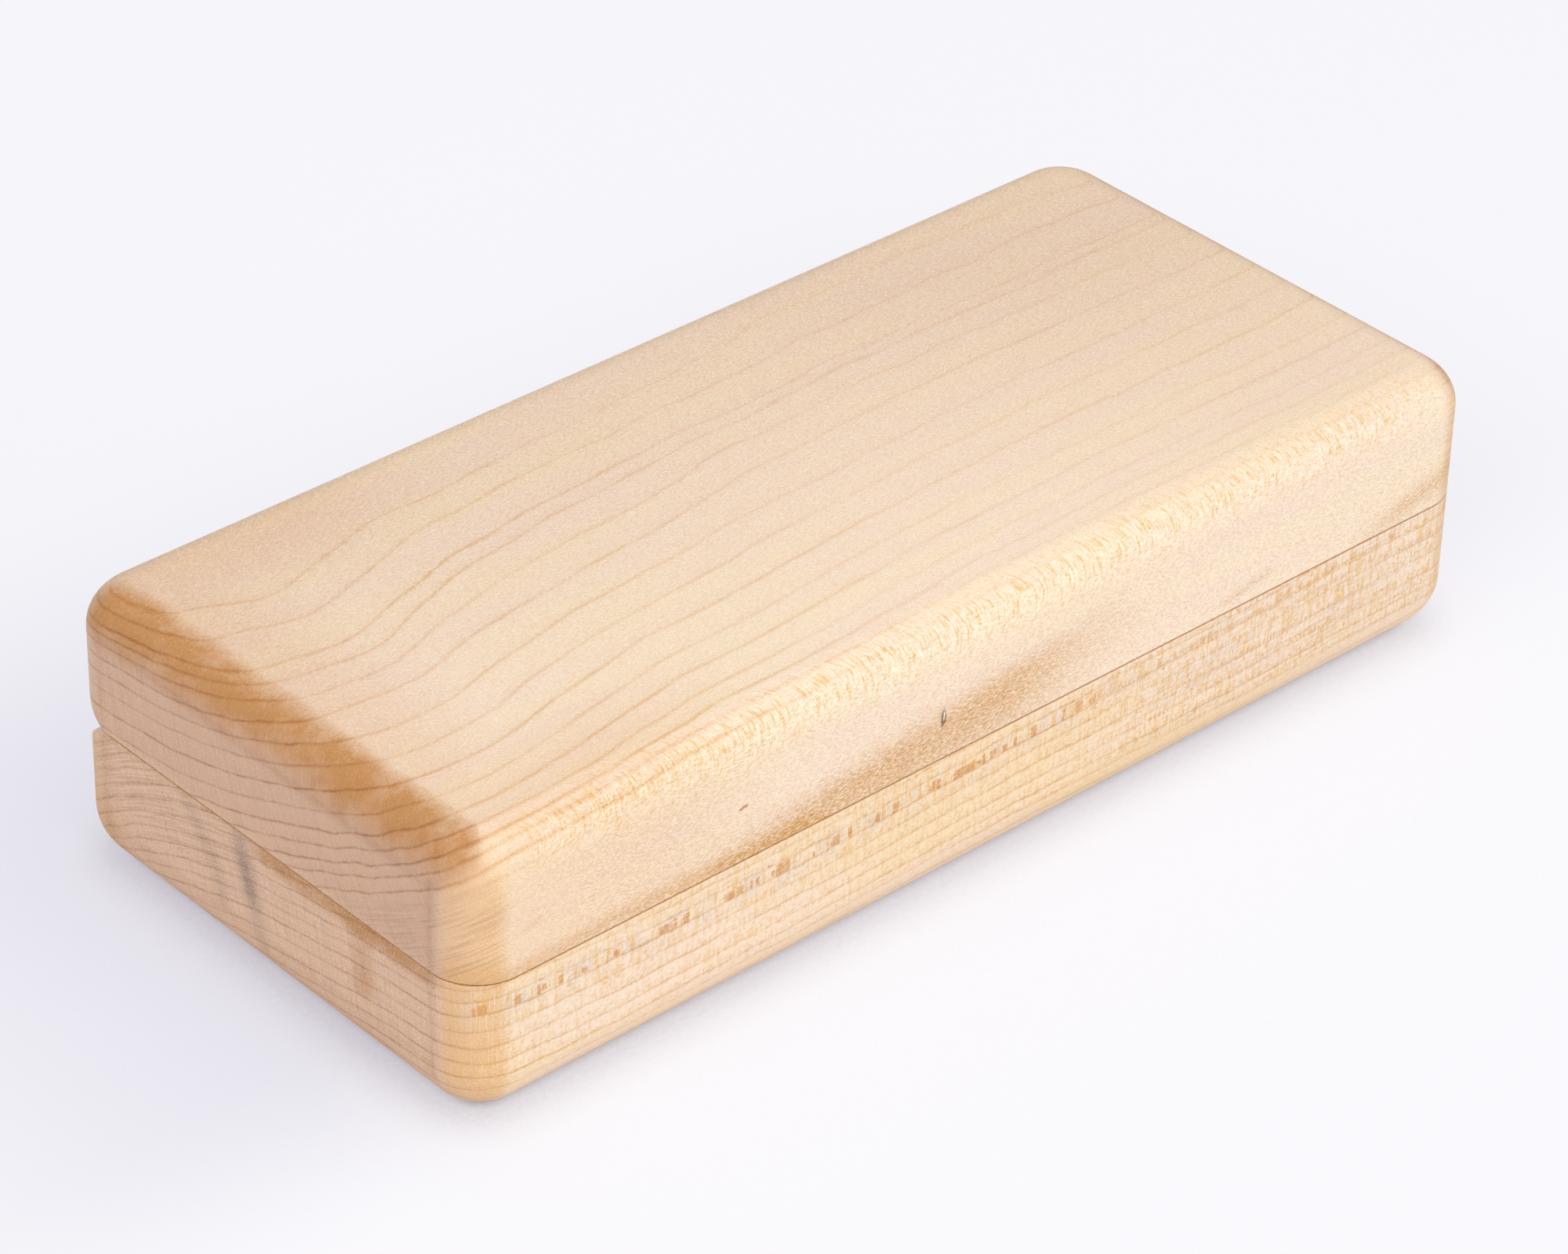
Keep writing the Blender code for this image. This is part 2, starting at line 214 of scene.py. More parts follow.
class MetalFinish(bpy.types.PropertyGroup):
    """Shades of the hinges and magnets."""

    brass: colour_property("Brass", "Colour of the drawn brass", 214, 178, 108)
    tarnish: colour_property("Tarnish", "Colour of the brass where it has dulled", 150, 112, 58)
    nickel: colour_property("Nickel", "Colour of the magnets' plating", 205, 203, 198)
    roughness: FloatProperty(
        name="Roughness", description="How matt the metal is", default=0.3, min=0.0, max=1.0,
    )


class FeltFinish(bpy.types.PropertyGroup):
    """Shades of the wool felt."""

    wool: colour_property("Wool", "Main colour of the felt", 78, 80, 82)
    fibre: colour_property("Pale fibres", "Colour of the lighter fibres", 128, 129, 128)


class StageSettings(bpy.types.PropertyGroup):
    """The cloth, the light and the camera."""

    cloth: colour_property("Cloth", "Colour of the white cloth", 246, 247, 252)
    dome: FloatProperty(name="Dome", description="Strength of the even light", default=0.5)
    front: FloatProperty(name="Front", description="Power of the front window, in watts", default=15.0)
    left: FloatProperty(name="Left", description="Power of the left window, in watts", default=6.0)
    above: FloatProperty(name="Above", description="Power of the skylight, in watts", default=11.0)


# Lattices and outlines


def outline(half_length, front, back, corner, steps, gather=0.0):
    """Rectangles with round corners, one for each value of the arrays that are handed in.

    A point sits at the end of an arm as long as the corner radius. The arm's foot slides from one
    corner's centre to the next while the arm points straight out, and turns 90 degrees there. The
    loop starts halfway round the front left corner and runs against the clock, seen from above. The
    steps are those of a long side and of an end. With gather above 0 the points of the long sides
    are closer together in the middle.
    """
    foot_x, foot_y, arm = [], [], []
    corners = [(-1, -1), (1, -1), (1, 1), (-1, 1)]
    for side in range(4):
        start, end, count = corners[side], corners[(side + 1) % 4], steps[side % 2]
        run = np.arange(count) / count
        if side % 2 == 0:
            run = run + gather * np.sin(2 * np.pi * run) / (2 * np.pi)
        run = np.concatenate([np.zeros(ARC_STEPS), run, np.ones(ARC_STEPS)])
        turn = np.concatenate([
            np.arange(-ARC_STEPS, 0) / ARC_STEPS, np.zeros(count), np.arange(ARC_STEPS) / ARC_STEPS,
        ])
        foot_x.append(start[0] + (end[0] - start[0]) * run)
        foot_y.append(start[1] + (end[1] - start[1]) * run)
        arm.append(np.radians(-90 + 90 * side + 45 * turn))
    foot_x, foot_y, arm = (np.concatenate(part) for part in (foot_x, foot_y, arm))
    half_length, front, back, corner = (
        np.atleast_1d(np.asarray(value, float))[:, None] for value in (half_length, front, back, corner)
    )
    x = foot_x * (half_length - corner) + corner * np.cos(arm)
    y = (front + back) / 2 + foot_y * ((back - front) / 2 - corner) + corner * np.sin(arm)
    return x, y, arm


def pocket_outline(inset, steps, gather=0.0):
    """The pocket's outline, drawn in by each inset."""
    return outline(POCKET_HALF_LENGTH - inset, POCKET_FRONT + inset, POCKET_BACK - inset,
                   POCKET_CORNER - inset, steps, gather)


def stacked(x, y, height):
    """Points of outlines that lie one above another, each at its height."""
    return np.stack([x, y, np.broadcast_to(height[:, None], x.shape)], -1)


def spanned(loop, steps):
    """Fills a closed outline with a lattice.

    Each point is the blend of the two long sides across, plus the blend of the two ends along, less
    the blend of the four corners.
    """
    count_x, count_y = (count + 2 * ARC_STEPS for count in steps)
    closed = np.vstack([loop, loop[:1]])
    front = closed[:count_x + 1]
    right = closed[count_x:count_x + count_y + 1]
    back = closed[count_x + count_y:2 * count_x + count_y + 1][::-1]
    left = closed[2 * count_x + count_y:][::-1]
    u = np.linspace(0, 1, count_x + 1)[None, :, None]
    v = np.linspace(0, 1, count_y + 1)[:, None, None]
    corners = (1 - v) * ((1 - u) * front[0] + u * front[-1]) + v * ((1 - u) * back[0] + u * back[-1])
    return (1 - v) * front[None] + v * back[None] + (1 - u) * left[:, None] + u * right[:, None] - corners


class Skin:
    """Points and faces that are gathered patch by patch and then made one closed mesh."""

    def __init__(self):
        self.points = []
        self.faces = []
        self.count = 0

    def add(self, points, faces, flip):
        """Adds points, and faces that are numbered from the first of them."""
        faces = np.asarray(faces) + self.count
        self.points.append(points.reshape(-1, 3))
        self.faces += (faces[:, ::-1] if flip else faces).tolist()
        self.count += len(self.points[-1])

    def lattice(self, points, flip=False, wrap_rows=False, wrap_columns=False):
        """Adds a lattice of rows x columns points, whose quads face along row step x column step."""
        rows, columns = points.shape[:2]
        i = np.arange(rows if wrap_rows else rows - 1)[:, None]
        j = np.arange(columns if wrap_columns else columns - 1)[None, :]
        row, next_row, next_j = i * columns, (i + 1) % rows * columns, (j + 1) % columns
        quads = np.stack([row + j, next_row + j, next_row + next_j, row + next_j], -1)
        self.add(points, quads.reshape(-1, 4), flip)

    def plate(self, loop, flip=False):
        """Adds one flat face inside a loop."""
        self.add(loop, [range(len(loop))], flip)

    def prism(self, ring, ends, lying=False):
        """Adds a closed upright form that has this ring as its section, or one that lies along X."""
        ring = np.asarray(ring, float)
        ends = [np.full((len(ring), 1), end) for end in ends]
        points = np.stack([np.hstack([end, ring] if lying else [ring, end]) for end in ends])
        self.lattice(points, flip=True, wrap_columns=True)
        self.plate(points[0], flip=True)
        self.plate(points[1])

    def mesh(self, name, mirrored=False):
        """Makes the mesh, with the borders of the patches merged."""
        mesh = bpy.data.meshes.new(name)
        faces = [face[::-1] for face in self.faces] if mirrored else self.faces
        mesh.from_pydata(np.vstack(self.points), [], faces)
        body = bmesh.new()
        body.from_mesh(mesh)
        bmesh.ops.remove_doubles(body, verts=body.verts, dist=MERGED)
        bmesh.ops.dissolve_degenerate(body, dist=MERGED / 2, edges=body.edges)
        body.to_mesh(mesh)
        body.free()
        mesh.validate()
        return mesh


def circle(x, y, radius, steps):
    """Points of a circle, against the clock."""
    angle = np.linspace(0, 2 * np.pi, steps, endpoint=False)
    return np.c_[x + radius * np.cos(angle), y + radius * np.sin(angle)]


def new_object(name, mesh):
    """Puts a mesh into the scene as an object at the origin."""
    obj = bpy.data.objects.new(name, mesh)
    bpy.context.scene.collection.objects.link(obj)
    return obj


def dress(obj, half, node, finish, sharp=60.0):
    """Gives a piece its finish and shading, and lets it ride on a half in place of a node."""
    obj.data.materials.clear()
    obj.data.materials.append(finish)
    obj.data.shade_smooth()
    obj.data.set_sharp_from_angle(angle=math.radians(sharp))
    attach(obj, half)
    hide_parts(node)


def cut(obj, skin, name):
    """Cuts a group of closed forms out of an object, for good."""
    cutter = new_object(name, skin.mesh(name))
    modifier = obj.modifiers.new(name, "BOOLEAN")
    modifier.operation = "DIFFERENCE"
    modifier.solver = "EXACT"
    modifier.object = cutter
    depsgraph = bpy.context.evaluated_depsgraph_get()
    result = bpy.data.meshes.new_from_object(obj.evaluated_get(depsgraph))
    obj.modifiers.remove(modifier)
    before, obj.data = obj.data, result
    bpy.data.meshes.remove(before)
    bpy.data.objects.remove(cutter)


# How each block was sawn from its log


class Log:
    """One block's place in its log, in millimetres.

    A ring rises towards the front: its z falls with y as the integral of its slope. A point's level is
    its z plus that integral at its place across, so a ring that runs straight along the block is one
    level. The sections give every ring's level at some places along the block, and it changes softly
    between them. The ring number grows evenly from one ring's level to the next. The rays have a
    table of their own, because they stand square to the rings only roughly.
    """

    def __init__(self, slopes, ray_slopes, sections, middle_z):
        self.y = np.linspace(-LOG_REACH, LOG_REACH, LOG_STEPS)
        self.slopes = self.softened(slopes)
        self.height_table = self.summed(self.slopes)
        self.ray_slopes = self.softened(ray_slopes)
        self.ray_height = self.summed(self.ray_slopes)
        self.ray_length = self.summed(np.sqrt(1 + self.ray_slopes ** 2))
        self.middle_z = middle_z
        self.section_x, levels = sections(self)
        below = levels[:, :1] - RING_BELOW * np.arange(14, 0, -1)
        above = levels[:, -1:] + RING_ABOVE * np.arange(1, 8)
        self.levels = np.hstack([below, levels, above])

    def softened(self, slopes):
        """Slopes at even places across, with their corners rounded off."""
        table = np.interp(self.y, *np.array(slopes).T)
        for _ in range(2):
            table = np.convolve(np.pad(table, 12, "edge"), np.ones(25) / 25, "valid")
        return table

    def summed(self, table):
        """Integral of a table over y, which is 0 in the middle."""
        total = np.concatenate([[0], np.cumsum((table[1:] + table[:-1]) / 2 * np.diff(self.y))])
        return total - np.interp(0.0, self.y, total)

    def height(self, y):
        """How far a ring has fallen at a place across."""
        return np.interp(y, self.y, self.height_table)

    def ring_level(self, x, number):
        """Level of one ring along the block: its sections' line, averaged over 6 mm."""
        spread = (-3.0, -1.5, 0.0, 1.5, 3.0)
        lines = [np.interp(x + step, self.section_x, self.levels[:, number]) for step in spread]
        return sum(lines) / len(spread)

    def ring(self, x, y, z):
        """Ring number of each point, with the slow waves that a log has."""
        wave = (
            0.07 * np.sin(x / 7.0 + y / 31.0) + 0.07 * np.sin(x / 3.6 - y / 13.0 + 1.0)
            + 0.05 * np.sin(x / 2.1 + y / 17.0 + z / 9.0 + 2.0)
        )
        level = z + self.height(y) + wave * (0.3 + np.interp(y, self.y, self.slopes))
        number = np.zeros_like(level)
        lower = self.ring_level(x, 0)
        for step in range(1, self.levels.shape[1]):
            upper = self.ring_level(x, step)
            number += np.clip((level - lower) / (upper - lower), 0, 1)
            lower = upper
        return number

    def fields(self, point, normal):
        """Ring number, ring width on the surface, mean level, and the place in the wood of each point.

        The width is one over the length of the ring number's gradient along the surface. The place
        is along the grain, across the rays and along the rays.
        """
        x, y, z = point.T
        step = 0.05
        number = self.ring(x, y, z)
        gradient = np.stack([
            (self.ring(*(point + step * axis).T) - self.ring(*(point - step * axis).T)) / (2 * step)
            for axis in np.eye(3)
        ], -1)
        gradient -= (gradient * normal).sum(-1, keepdims=True) * normal
        width = 1.0 / np.maximum(np.linalg.norm(gradient, axis=-1), 0.02)
        level = np.interp(number, np.arange(self.levels.shape[1]), self.levels.mean(0))
        slope = np.interp(y, self.y, self.ray_slopes)
        foot = y - slope / (1 + 0.5 * slope ** 2) * (z - self.middle_z)
        beside = np.interp(foot, self.y, self.ray_length)
        along = (z + np.interp(y, self.y, self.ray_height)) / np.sqrt(1 + slope ** 2)
        return number, width, level, np.stack([x, beside, along], -1)


def lid_sections(log):
    """Levels of the lid's rings: from places (y, z) on its left end, and from y on its flat top by x."""
    left_end = np.array([
        (28, 39.8), (22, 39.3), (22, 37.8), (22, 36.8), (10, 37.7), (-2, 39.3), (-2, 37.3), (-2, 34.9),
        (-2, 31.9), (-2, 29.0), (-2, 26.3), (-2, 24.2), (-2, 22.0), (-8, 22.7),
    ])
    on_top = {
        -78: (24.0, 17.0, 7.6, 4.4, -0.2, -4.8, -10.8, -16.3, -21.2, -25.7, -29.4, -32.6, -35.2, -37.4),
        -68: (18.3, 12.8, 5.7, 2.3, -1.7, -5.5, -11.8, -17.1, -21.8, -25.9, -29.4, -32.6, -35.1, -37.3),
        -64: (19.5, 13.3, 6.0, 2.3, -1.3, -5.5, -11.5, -16.8, -21.5, -25.5, -29.0, -32.5, -35.0, -37.0),
        -48: (24.0, 18.0, 11.0, 8.5, 3.3, -2.0, -7.7, -13.0, -18.0, -22.7, -26.5, -30.3, -33.0, -35.3),
        -40: (24.3, 20.0, 13.0, 10.0, 5.0, -1.0, -6.5, -12.0, -16.7, -21.5, -25.5, -29.5, -32.2, -34.7),
        -14: (25.2, 20.7, 14.7, 12.2, 6.7, 1.5, -4.5, -9.8, -15.5, -20.5, -24.2, -28.3, -31.3, -33.8),
        -4: (25.8, 21.3, 15.0, 12.7, 8.8, 3.0, -4.0, -9.3, -14.5, -19.3, -23.0, -27.0, -30.2, -32.8),
        20: (28.7, 22.0, 15.7, 14.0, 9.7, 4.3, -2.8, -8.2, -13.3, -18.5, -22.2, -26.3, -29.3, -32.0),
        56: (30.0, 23.3, 16.0, 14.0, 9.7, 3.9, -2.5, -7.9, -13.3, -18.7, -22.2, -26.5, -29.5, -32.2),
        84: (27.0, 22.3, 15.3, 14.0, 8.8, 2.8, -2.7, -8.0, -13.3, -19.0, -22.7, -26.5, -29.8, -32.4),
    }
    first = left_end[:, 1] + log.height(left_end[:, 0])
    levels = np.vstack([first, 40.0 + log.height(np.array(list(on_top.values())))])
    return np.array([-84.0, *on_top]), levels[:, ::-1]


def base_sections(log):
    """Levels of the base's rings: from z on its left end at y = -2, and from z on its front by x."""
    left_end = np.array([1.4, 3.4, 5.4, 7.4, 9.5, 11.7, 13.8, 15.6, 17.5, 19.4]) + log.height(-2.0)
    on_front = {
        -79: (5.9, 7.8, 10.0, 12.5, 15.1, 17.6, 19.6, 21.4, 23.4, 25.4),
        -72: (5.7, 7.3, 9.4, 12.0, 14.6, 16.8, 18.8, 20.6, 22.6, 24.6),
        -60: (5.5, 7.1, 9.2, 11.7, 14.2, 16.5, 18.2, 20.0, 22.0, 24.0),
        -42: (6.0, 7.4, 9.4, 11.8, 14.1, 16.3, 18.3, 19.9, 21.9, 23.9),
        -30: (6.1, 7.6, 9.6, 11.8, 14.2, 16.3, 18.2, 19.9, 21.9, 23.9),
        -18: (6.6, 8.0, 10.0, 12.2, 14.5, 16.7, 18.7, 20.4, 22.4, 24.4),
        -6: (6.9, 8.3, 10.5, 12.7, 15.0, 17.1, 19.1, 20.9, 22.9, 24.9),
        6: (7.0, 8.6, 10.6, 13.0, 15.3, 17.4, 19.6, 21.4, 23.4, 25.4),
        20: (6.8, 8.4, 10.6, 13.2, 15.7, 17.8, 19.9, 21.8, 23.8, 25.8),
        45: (6.5, 8.4, 10.5, 13.1, 16.0, 18.1, 20.2, 22.2, 24.2, 26.2),
        60: (7.0, 8.8, 11.0, 13.8, 16.5, 19.0, 21.2, 23.2, 25.2, 27.2),
        84: (7.1, 8.8, 11.1, 13.9, 16.6, 19.1, 21.3, 23.4, 25.4, 27.4),
    }
    levels = np.vstack([left_end, np.array(list(on_front.values())) + log.height(-38.5)])
    return np.array([-84.0, *on_front]), levels


LID_LOG = Log(
    slopes=[(-60, 0.95), (-38, 0.75), (-32, 0.66), (-28, 0.62), (-23, 0.57), (-17, 0.48), (-11, 0.44),
            (-5, 0.395), (1, 0.35), (7, 0.30), (13, 0.24), (19, 0.13), (22, 0.12), (28, 0.10),
            (38, 0.06), (60, 0.0)],
    ray_slopes=[(-60, 1.4), (-38, 1.25), (-30, 1.0), (-22, 0.76), (-15, 0.6), (-5, 0.45), (8, 0.33),
                (18, 0.26), (28, 0.17), (36, 0.1), (60, 0.03)],
    sections=lid_sections,
    middle_z=31.0,
)

BASE_SLOPES = [(-60, 0.05), (-38, 0.08), (-29, 0.09), (-23, 0.07), (-17, 0.20), (-11, 0.155), (-5, 0.16),
               (1, 0.20), (7, 0.29), (13, 0.30), (19, 0.42), (25, 0.50), (32, 0.70), (38, 0.85), (60, 1.1)]
BASE_LOG = Log(slopes=BASE_SLOPES, ray_slopes=BASE_SLOPES, sections=base_sections, middle_z=10.0)


def near_path(x, y, path, half_width):
    """1 on a path of straight stretches and 0 beyond its half width, with a soft edge."""
    nearest = np.full(np.shape(x), 1e9)
    for (ax, ay), (bx, by) in zip(path, path[1:]):
        run = np.array([bx - ax, by - ay])
        share = np.clip(((x - ax) * run[0] + (y - ay) * run[1]) / (run @ run), 0, 1)
        nearest = np.minimum(nearest, np.hypot(x - ax - share * run[0], y - ay - share * run[1]))
    return np.exp(-(nearest / half_width) ** 2)


def step_up(value, low, high):
    """0 below one value, 1 above another, and a smooth rise between them."""
    share = np.clip((value - low) / (high - low), 0, 1)
    return share * share * (3 - 2 * share)


def inside_outline(x, y, corner=7.0):
    """How far inside the case's outline a point lies from above, and the way out's x part.

    The outline is a rectangle with round corners. The way out is its outward direction.
    """
    past_x = np.abs(x) - (HALF_LENGTH / MILLIMETRE - corner)
    past_y = np.abs(y) - (BACK / MILLIMETRE - corner)
    reach = np.hypot(np.maximum(past_x, 0), np.maximum(past_y, 0))
    out_x = np.sign(x) * np.clip(np.maximum(past_x, 0) / np.maximum(reach, 1e-6), 0, 1)
    return corner - reach - np.minimum(np.maximum(past_x, past_y), 0), out_x


def over_the_edge(point, edge=6.0):
    """Arc length from the rim of the lid's flat top outwards and down, and the way out, in millimetres.

    The depth inside the outline gives a point's angle on the quarter round.
    """
    x, y, z = point.T
    inset, out_x = inside_outline(x, y)
    turn = np.arcsin(np.clip(1 - inset / edge, -1, 1))
    top = TOP / MILLIMETRE
    down = np.where(inset > edge, edge - inset,
                    np.where(z > top - edge, edge * turn, edge * np.pi / 2 + top - edge - z))
    return down, out_x


def at_the_seam(point, rim):
    """Where the seam's painted shade lies: 1 on the eased edge of the rim, and 0 from 0.12 mm above or below
    it and further in.
    """
    inset, _ = inside_outline(point[:, 0], point[:, 1])
    return step_up(0.12 - np.abs(point[:, 2] - rim), 0.0, 0.11) * step_up(0.8 - inset, 0.0, 0.5)


def upright_corner(normal):
    """1 in the middle of an upright round corner, and 0 on the faces beside it."""
    return step_up(2 * np.abs(normal[:, 0] * normal[:, 1]), 0.1, 0.8)

def along_paths(x, y, *marks):
    """Sum of marks along paths, each with its strength, half width and path."""
    return sum(strength * near_path(x, y, path, half_width) for strength, half_width, path in marks)


def lid_marks(point, normal, number):
    """Where the lid's marks lie: the golden band, the rays over its front edge, streaks and facets, painted
    shade towards its back and on its top's right, and the seam's painted shade.
    """
    x, y, z = point.T
    down, out_x = over_the_edge(point)
    corner = upright_corner(normal)
    end = step_up(np.abs(normal[:, 0]), 0.12, 0.85) * (1 - 0.7 * corner)
    gold = np.interp(down - 0.7 * step_up(y, 29, 32),
                     [-1.5, -0.2, 0.8, 1.8, 3.0, 4.2, 5.4, 6.8, 8.8, 11.5],
                     [0.0, 0.16, 0.5, 0.8, 0.93, 1.0, 0.98, 0.74, 0.32, 0.0])
    gold *= step_up(-out_x, 0.3, 0.95) * (1 - 0.4 * step_up(y, 32, 35)) * (1 - 0.6 * step_up(-y, 33, 37))
    gold += np.interp(down, [2.0, 4.5, 7.0, 11.0], [0.0, 0.6, 0.5, 0.0]) * step_up(out_x, 0.3, 0.95)

    front = step_up(-normal[:, 1], 0.5, 0.9)
    path = [(-62, 20.0), (-39, 22.5), (-10, 25.7), (8, 28.3), (18, 29.9)]
    half_width = np.where(z < np.interp(x, *np.array(path).T), 7.6, 2.9) - 0.4 * step_up(x, -10, 10)
    streak = near_path(x, z, path, half_width)
    streak *= 0.75 * step_up(x, -66, -22) * (1 - 0.8 * step_up(x, -2, 20))
    second = near_path(x, z, [(62, 21.5), (70, 23.4), (78, 25.2), (84, 27)], 1.7) * step_up(x, 58, 74)
    small = along_paths(x, z, (0.5, 1.3, [(-84, 21.6), (-60, 22.4), (-30, 21.8)]),
                        (0.35, 0.4, [(-75.5, 27.4), (-73.0, 28.0)]), (0.35, 0.6, [(38, 22.8), (46, 24.2)]))
    stain = front * np.clip(streak + 0.5 * second + small, 0, 1)
    stain = np.maximum(stain, 0.55 * corner * step_up(-x, 70, 76) * step_up(26.5 - z, 0, 5))

    ends = step_up(np.abs(normal[:, 0]), 0.5, 0.8)
    facet = ends * along_paths(
        y, z, (0.6, 0.6, [(-31.3, 33.4), (-31.3, 21.0)]), (0.5, 0.6, [(31, 34.9), (-31.3, 33.4)]),
        (0.5, 0.6, [(-31.3, 33.4), (-35.5, 37.4)]), (0.4, 0.6, [(31.3, 34.9), (31.3, 21.0)]),
    )
    strength = (0.1 + 0.9 * step_up(number, 11.4, 13.2)) * (1 - 0.5 * step_up(x, -60, 20))
    strength *= 1 - 0.35 * step_up(x, -55, -10) * step_up(18.5 - number, 0, 3)
    arcs = np.exp(-((down - 4.6) / 3.6) ** 2) * step_up(np.abs(y), 24, 32) * (1 - end)
    # How strong the fine specks are, which are partly the wood's tone and partly painted shade and highlight
    # of its relief
    grit = (1 - 0.65 * step_up(-x, 60, 78) * step_up(-y, 30, 36)) * (1 - 0.7 * corner)
    grit = grit * (1 - 0.5 * end) * (1 - 0.6 * gold) * (0.48 + 0.52 * front)
    tan = step_up(down, -17, -1) * step_up(-x, 30, 60) * (1 - end)
    bow = 2.0 * ((down - 4.6) / 4.0) ** 2
    return {
        "end": end, "gold": np.clip(gold, 0, 1), "stain": stain, "facet": np.clip(facet, 0, 1),
        "warm": corner * step_up(-y, 20, 30) * (1 - 0.45 * step_up(z, 33, 39)),
        "strength": strength, "fine": (1 - strength) * np.maximum(end, corner),
        "arcs": arcs * step_up(79 - np.abs(x), 0, 9), "seam": 0.22 * ends * step_up(22.8 - z, 0.2, 1.2),
        # Painted shade: 1 at the front and 0 at the back, less on the top's right half; the finish darkens
        # the lid by what is missing from 1, as light from the front would
        "pale": np.clip((38.5 - y) / 77 - 0.35 * step_up(x, 0, 80) * step_up(z, 37, 39.5), 0, 1),
        "tan": np.maximum(0.75 * tan, 0.4 * front * step_up(-x, 70, 79)),
        # The seam's hairline of painted shade
        "shut": at_the_seam(point, LID_RIM / MILLIMETRE), "grit": grit + 0.3 * stain * step_up(x, -66, -30),
    }, np.stack([x + bow, down, 0 * x], -1)


def base_marks(point, normal, number):
    """Where the base's marks lie: the dashed rays of its front, the mineral streak, the facets, and the
    seam's painted shade.
    """
    x, y, z = point.T
    corner = upright_corner(normal)
    end = step_up(np.abs(normal[:, 0]), 0.2, 0.9) * (1 - 0.7 * corner)
    left = step_up(-normal[:, 0], 0.5, 0.9)
    under = step_up(8.5 - z, 0.0, 6.0)
    patch = step_up(z, 17.8, 20.4) * step_up(3.5 - y, 0.0, 4.0) * step_up(y, -36, -28)
    band = near_path(y, z, [(-18.8, 22), (-18.8, 12)], 2.0)
    hem = step_up(z, 19.9, 20.4) * step_up(y, 2, 8)
    gold = left * (0.85 * patch + 0.5 * band + 0.25 * hem + 0.3 * under)
    mineral = near_path(y, z, [(4.6, 22), (3.6, 17), (2.2, 12), (0.4, 6)], 1.1 + 0.05 * np.clip(z - 6, 0, 12))
    mineral *= 0.35 + 0.65 * step_up(z, 9, 14) * (1 - 0.4 * step_up(z, 17, 20))
    mineral += 0.35 * near_path(y, z, [(14.5, 20), (11.5, 16), (9, 12.5), (8, 9)], 1.3)
    stain = 0.55 * left * (near_path(y, z, [(37, 21), (36, 12), (30, 4)], 3.5) + 0.7 * under)
    facet = step_up(np.abs(normal[:, 0]), 0.5, 0.8) * along_paths(
        y, z, (0.55, 0.6, [(-31.5, 21.5), (-31.5, 6.0)]), (0.7, 0.6, [(31.2, 21), (31.0, 6.0)]),
        (0.4, 0.7, [(31, 7.6), (-31, 7.9)]),
    )
    front = step_up(np.abs(normal[:, 1]), 0.4, 0.85)
    side = step_up(z, 5.5, 8.0) * front
    right = step_up(x, 5, 35)
    grey_ring = np.exp(-((number - 19.2) / 1.2) ** 2)
    return {
        "end": end, "gold": np.clip(gold, 0, 1), "facet": np.clip(facet, 0, 1),
        "warm": np.clip(1.3 * corner + 0.5 * under * (1 - end), 0, 1),
        "stain": np.maximum(stain, 0.32 * corner * (x < 0) * (y < 0)),
        "mineral": left * mineral, "strength": 1 - 0.3 * front * right,
        "fine": 0.3 * end + 0.7 * end * step_up(y, 2, 8) * step_up(z, 10, 13) + 0.55 * right * side,
        "dashes": np.clip(side * (0.55 + 0.45 * right), 0, 1),
        "accent": front * step_up(z, 13.5, 15.0) * (1 - 0.5 * right),
        "lilac": np.maximum(0.4 * right * side, 0.8 * front * grey_ring * (1 - 0.4 * right)),
        # No painted shade on the base's faces; only the seam's hairline of painted shade on its eased rim
        # edge
        "pale": 1 + 0 * x, "shut": at_the_seam(point, BASE_RIM / MILLIMETRE),
        "grit": (1 - 0.6 * corner) * (0.6 + 0.1 * front),
    }, np.stack([x - (y - FRONT / MILLIMETRE) * (y < 0), z, 0 * x], -1)


def lay_out_wood(mesh, log, marks):
    """Writes the wood's fields and marks onto a block's points, for its finish to read."""
    point, normal = np.empty((2, len(mesh.vertices), 3))
    mesh.vertices.foreach_get("co", point.ravel())
    mesh.vertices.foreach_get("normal", normal.ravel())
    point = point / MILLIMETRE
    number, width, level, wood = log.fields(point, normal)
    masks, face = marks(point, normal, number)
    values = {"ring": number, "ring_width": width, "level": level}
    values.update((name, masks.get(name, np.zeros_like(number))) for name in MASKS)
    for name, value in values.items():
        mesh.attributes.new(name, "FLOAT", "POINT").data.foreach_set("value", value.astype(np.float32))
    for name, value in (("wood", wood), ("face", face)):
        attribute = mesh.attributes.new(name, "FLOAT_VECTOR", "POINT")
        attribute.data.foreach_set("vector", value.astype(np.float32).ravel())


# Surfaces of the pieces


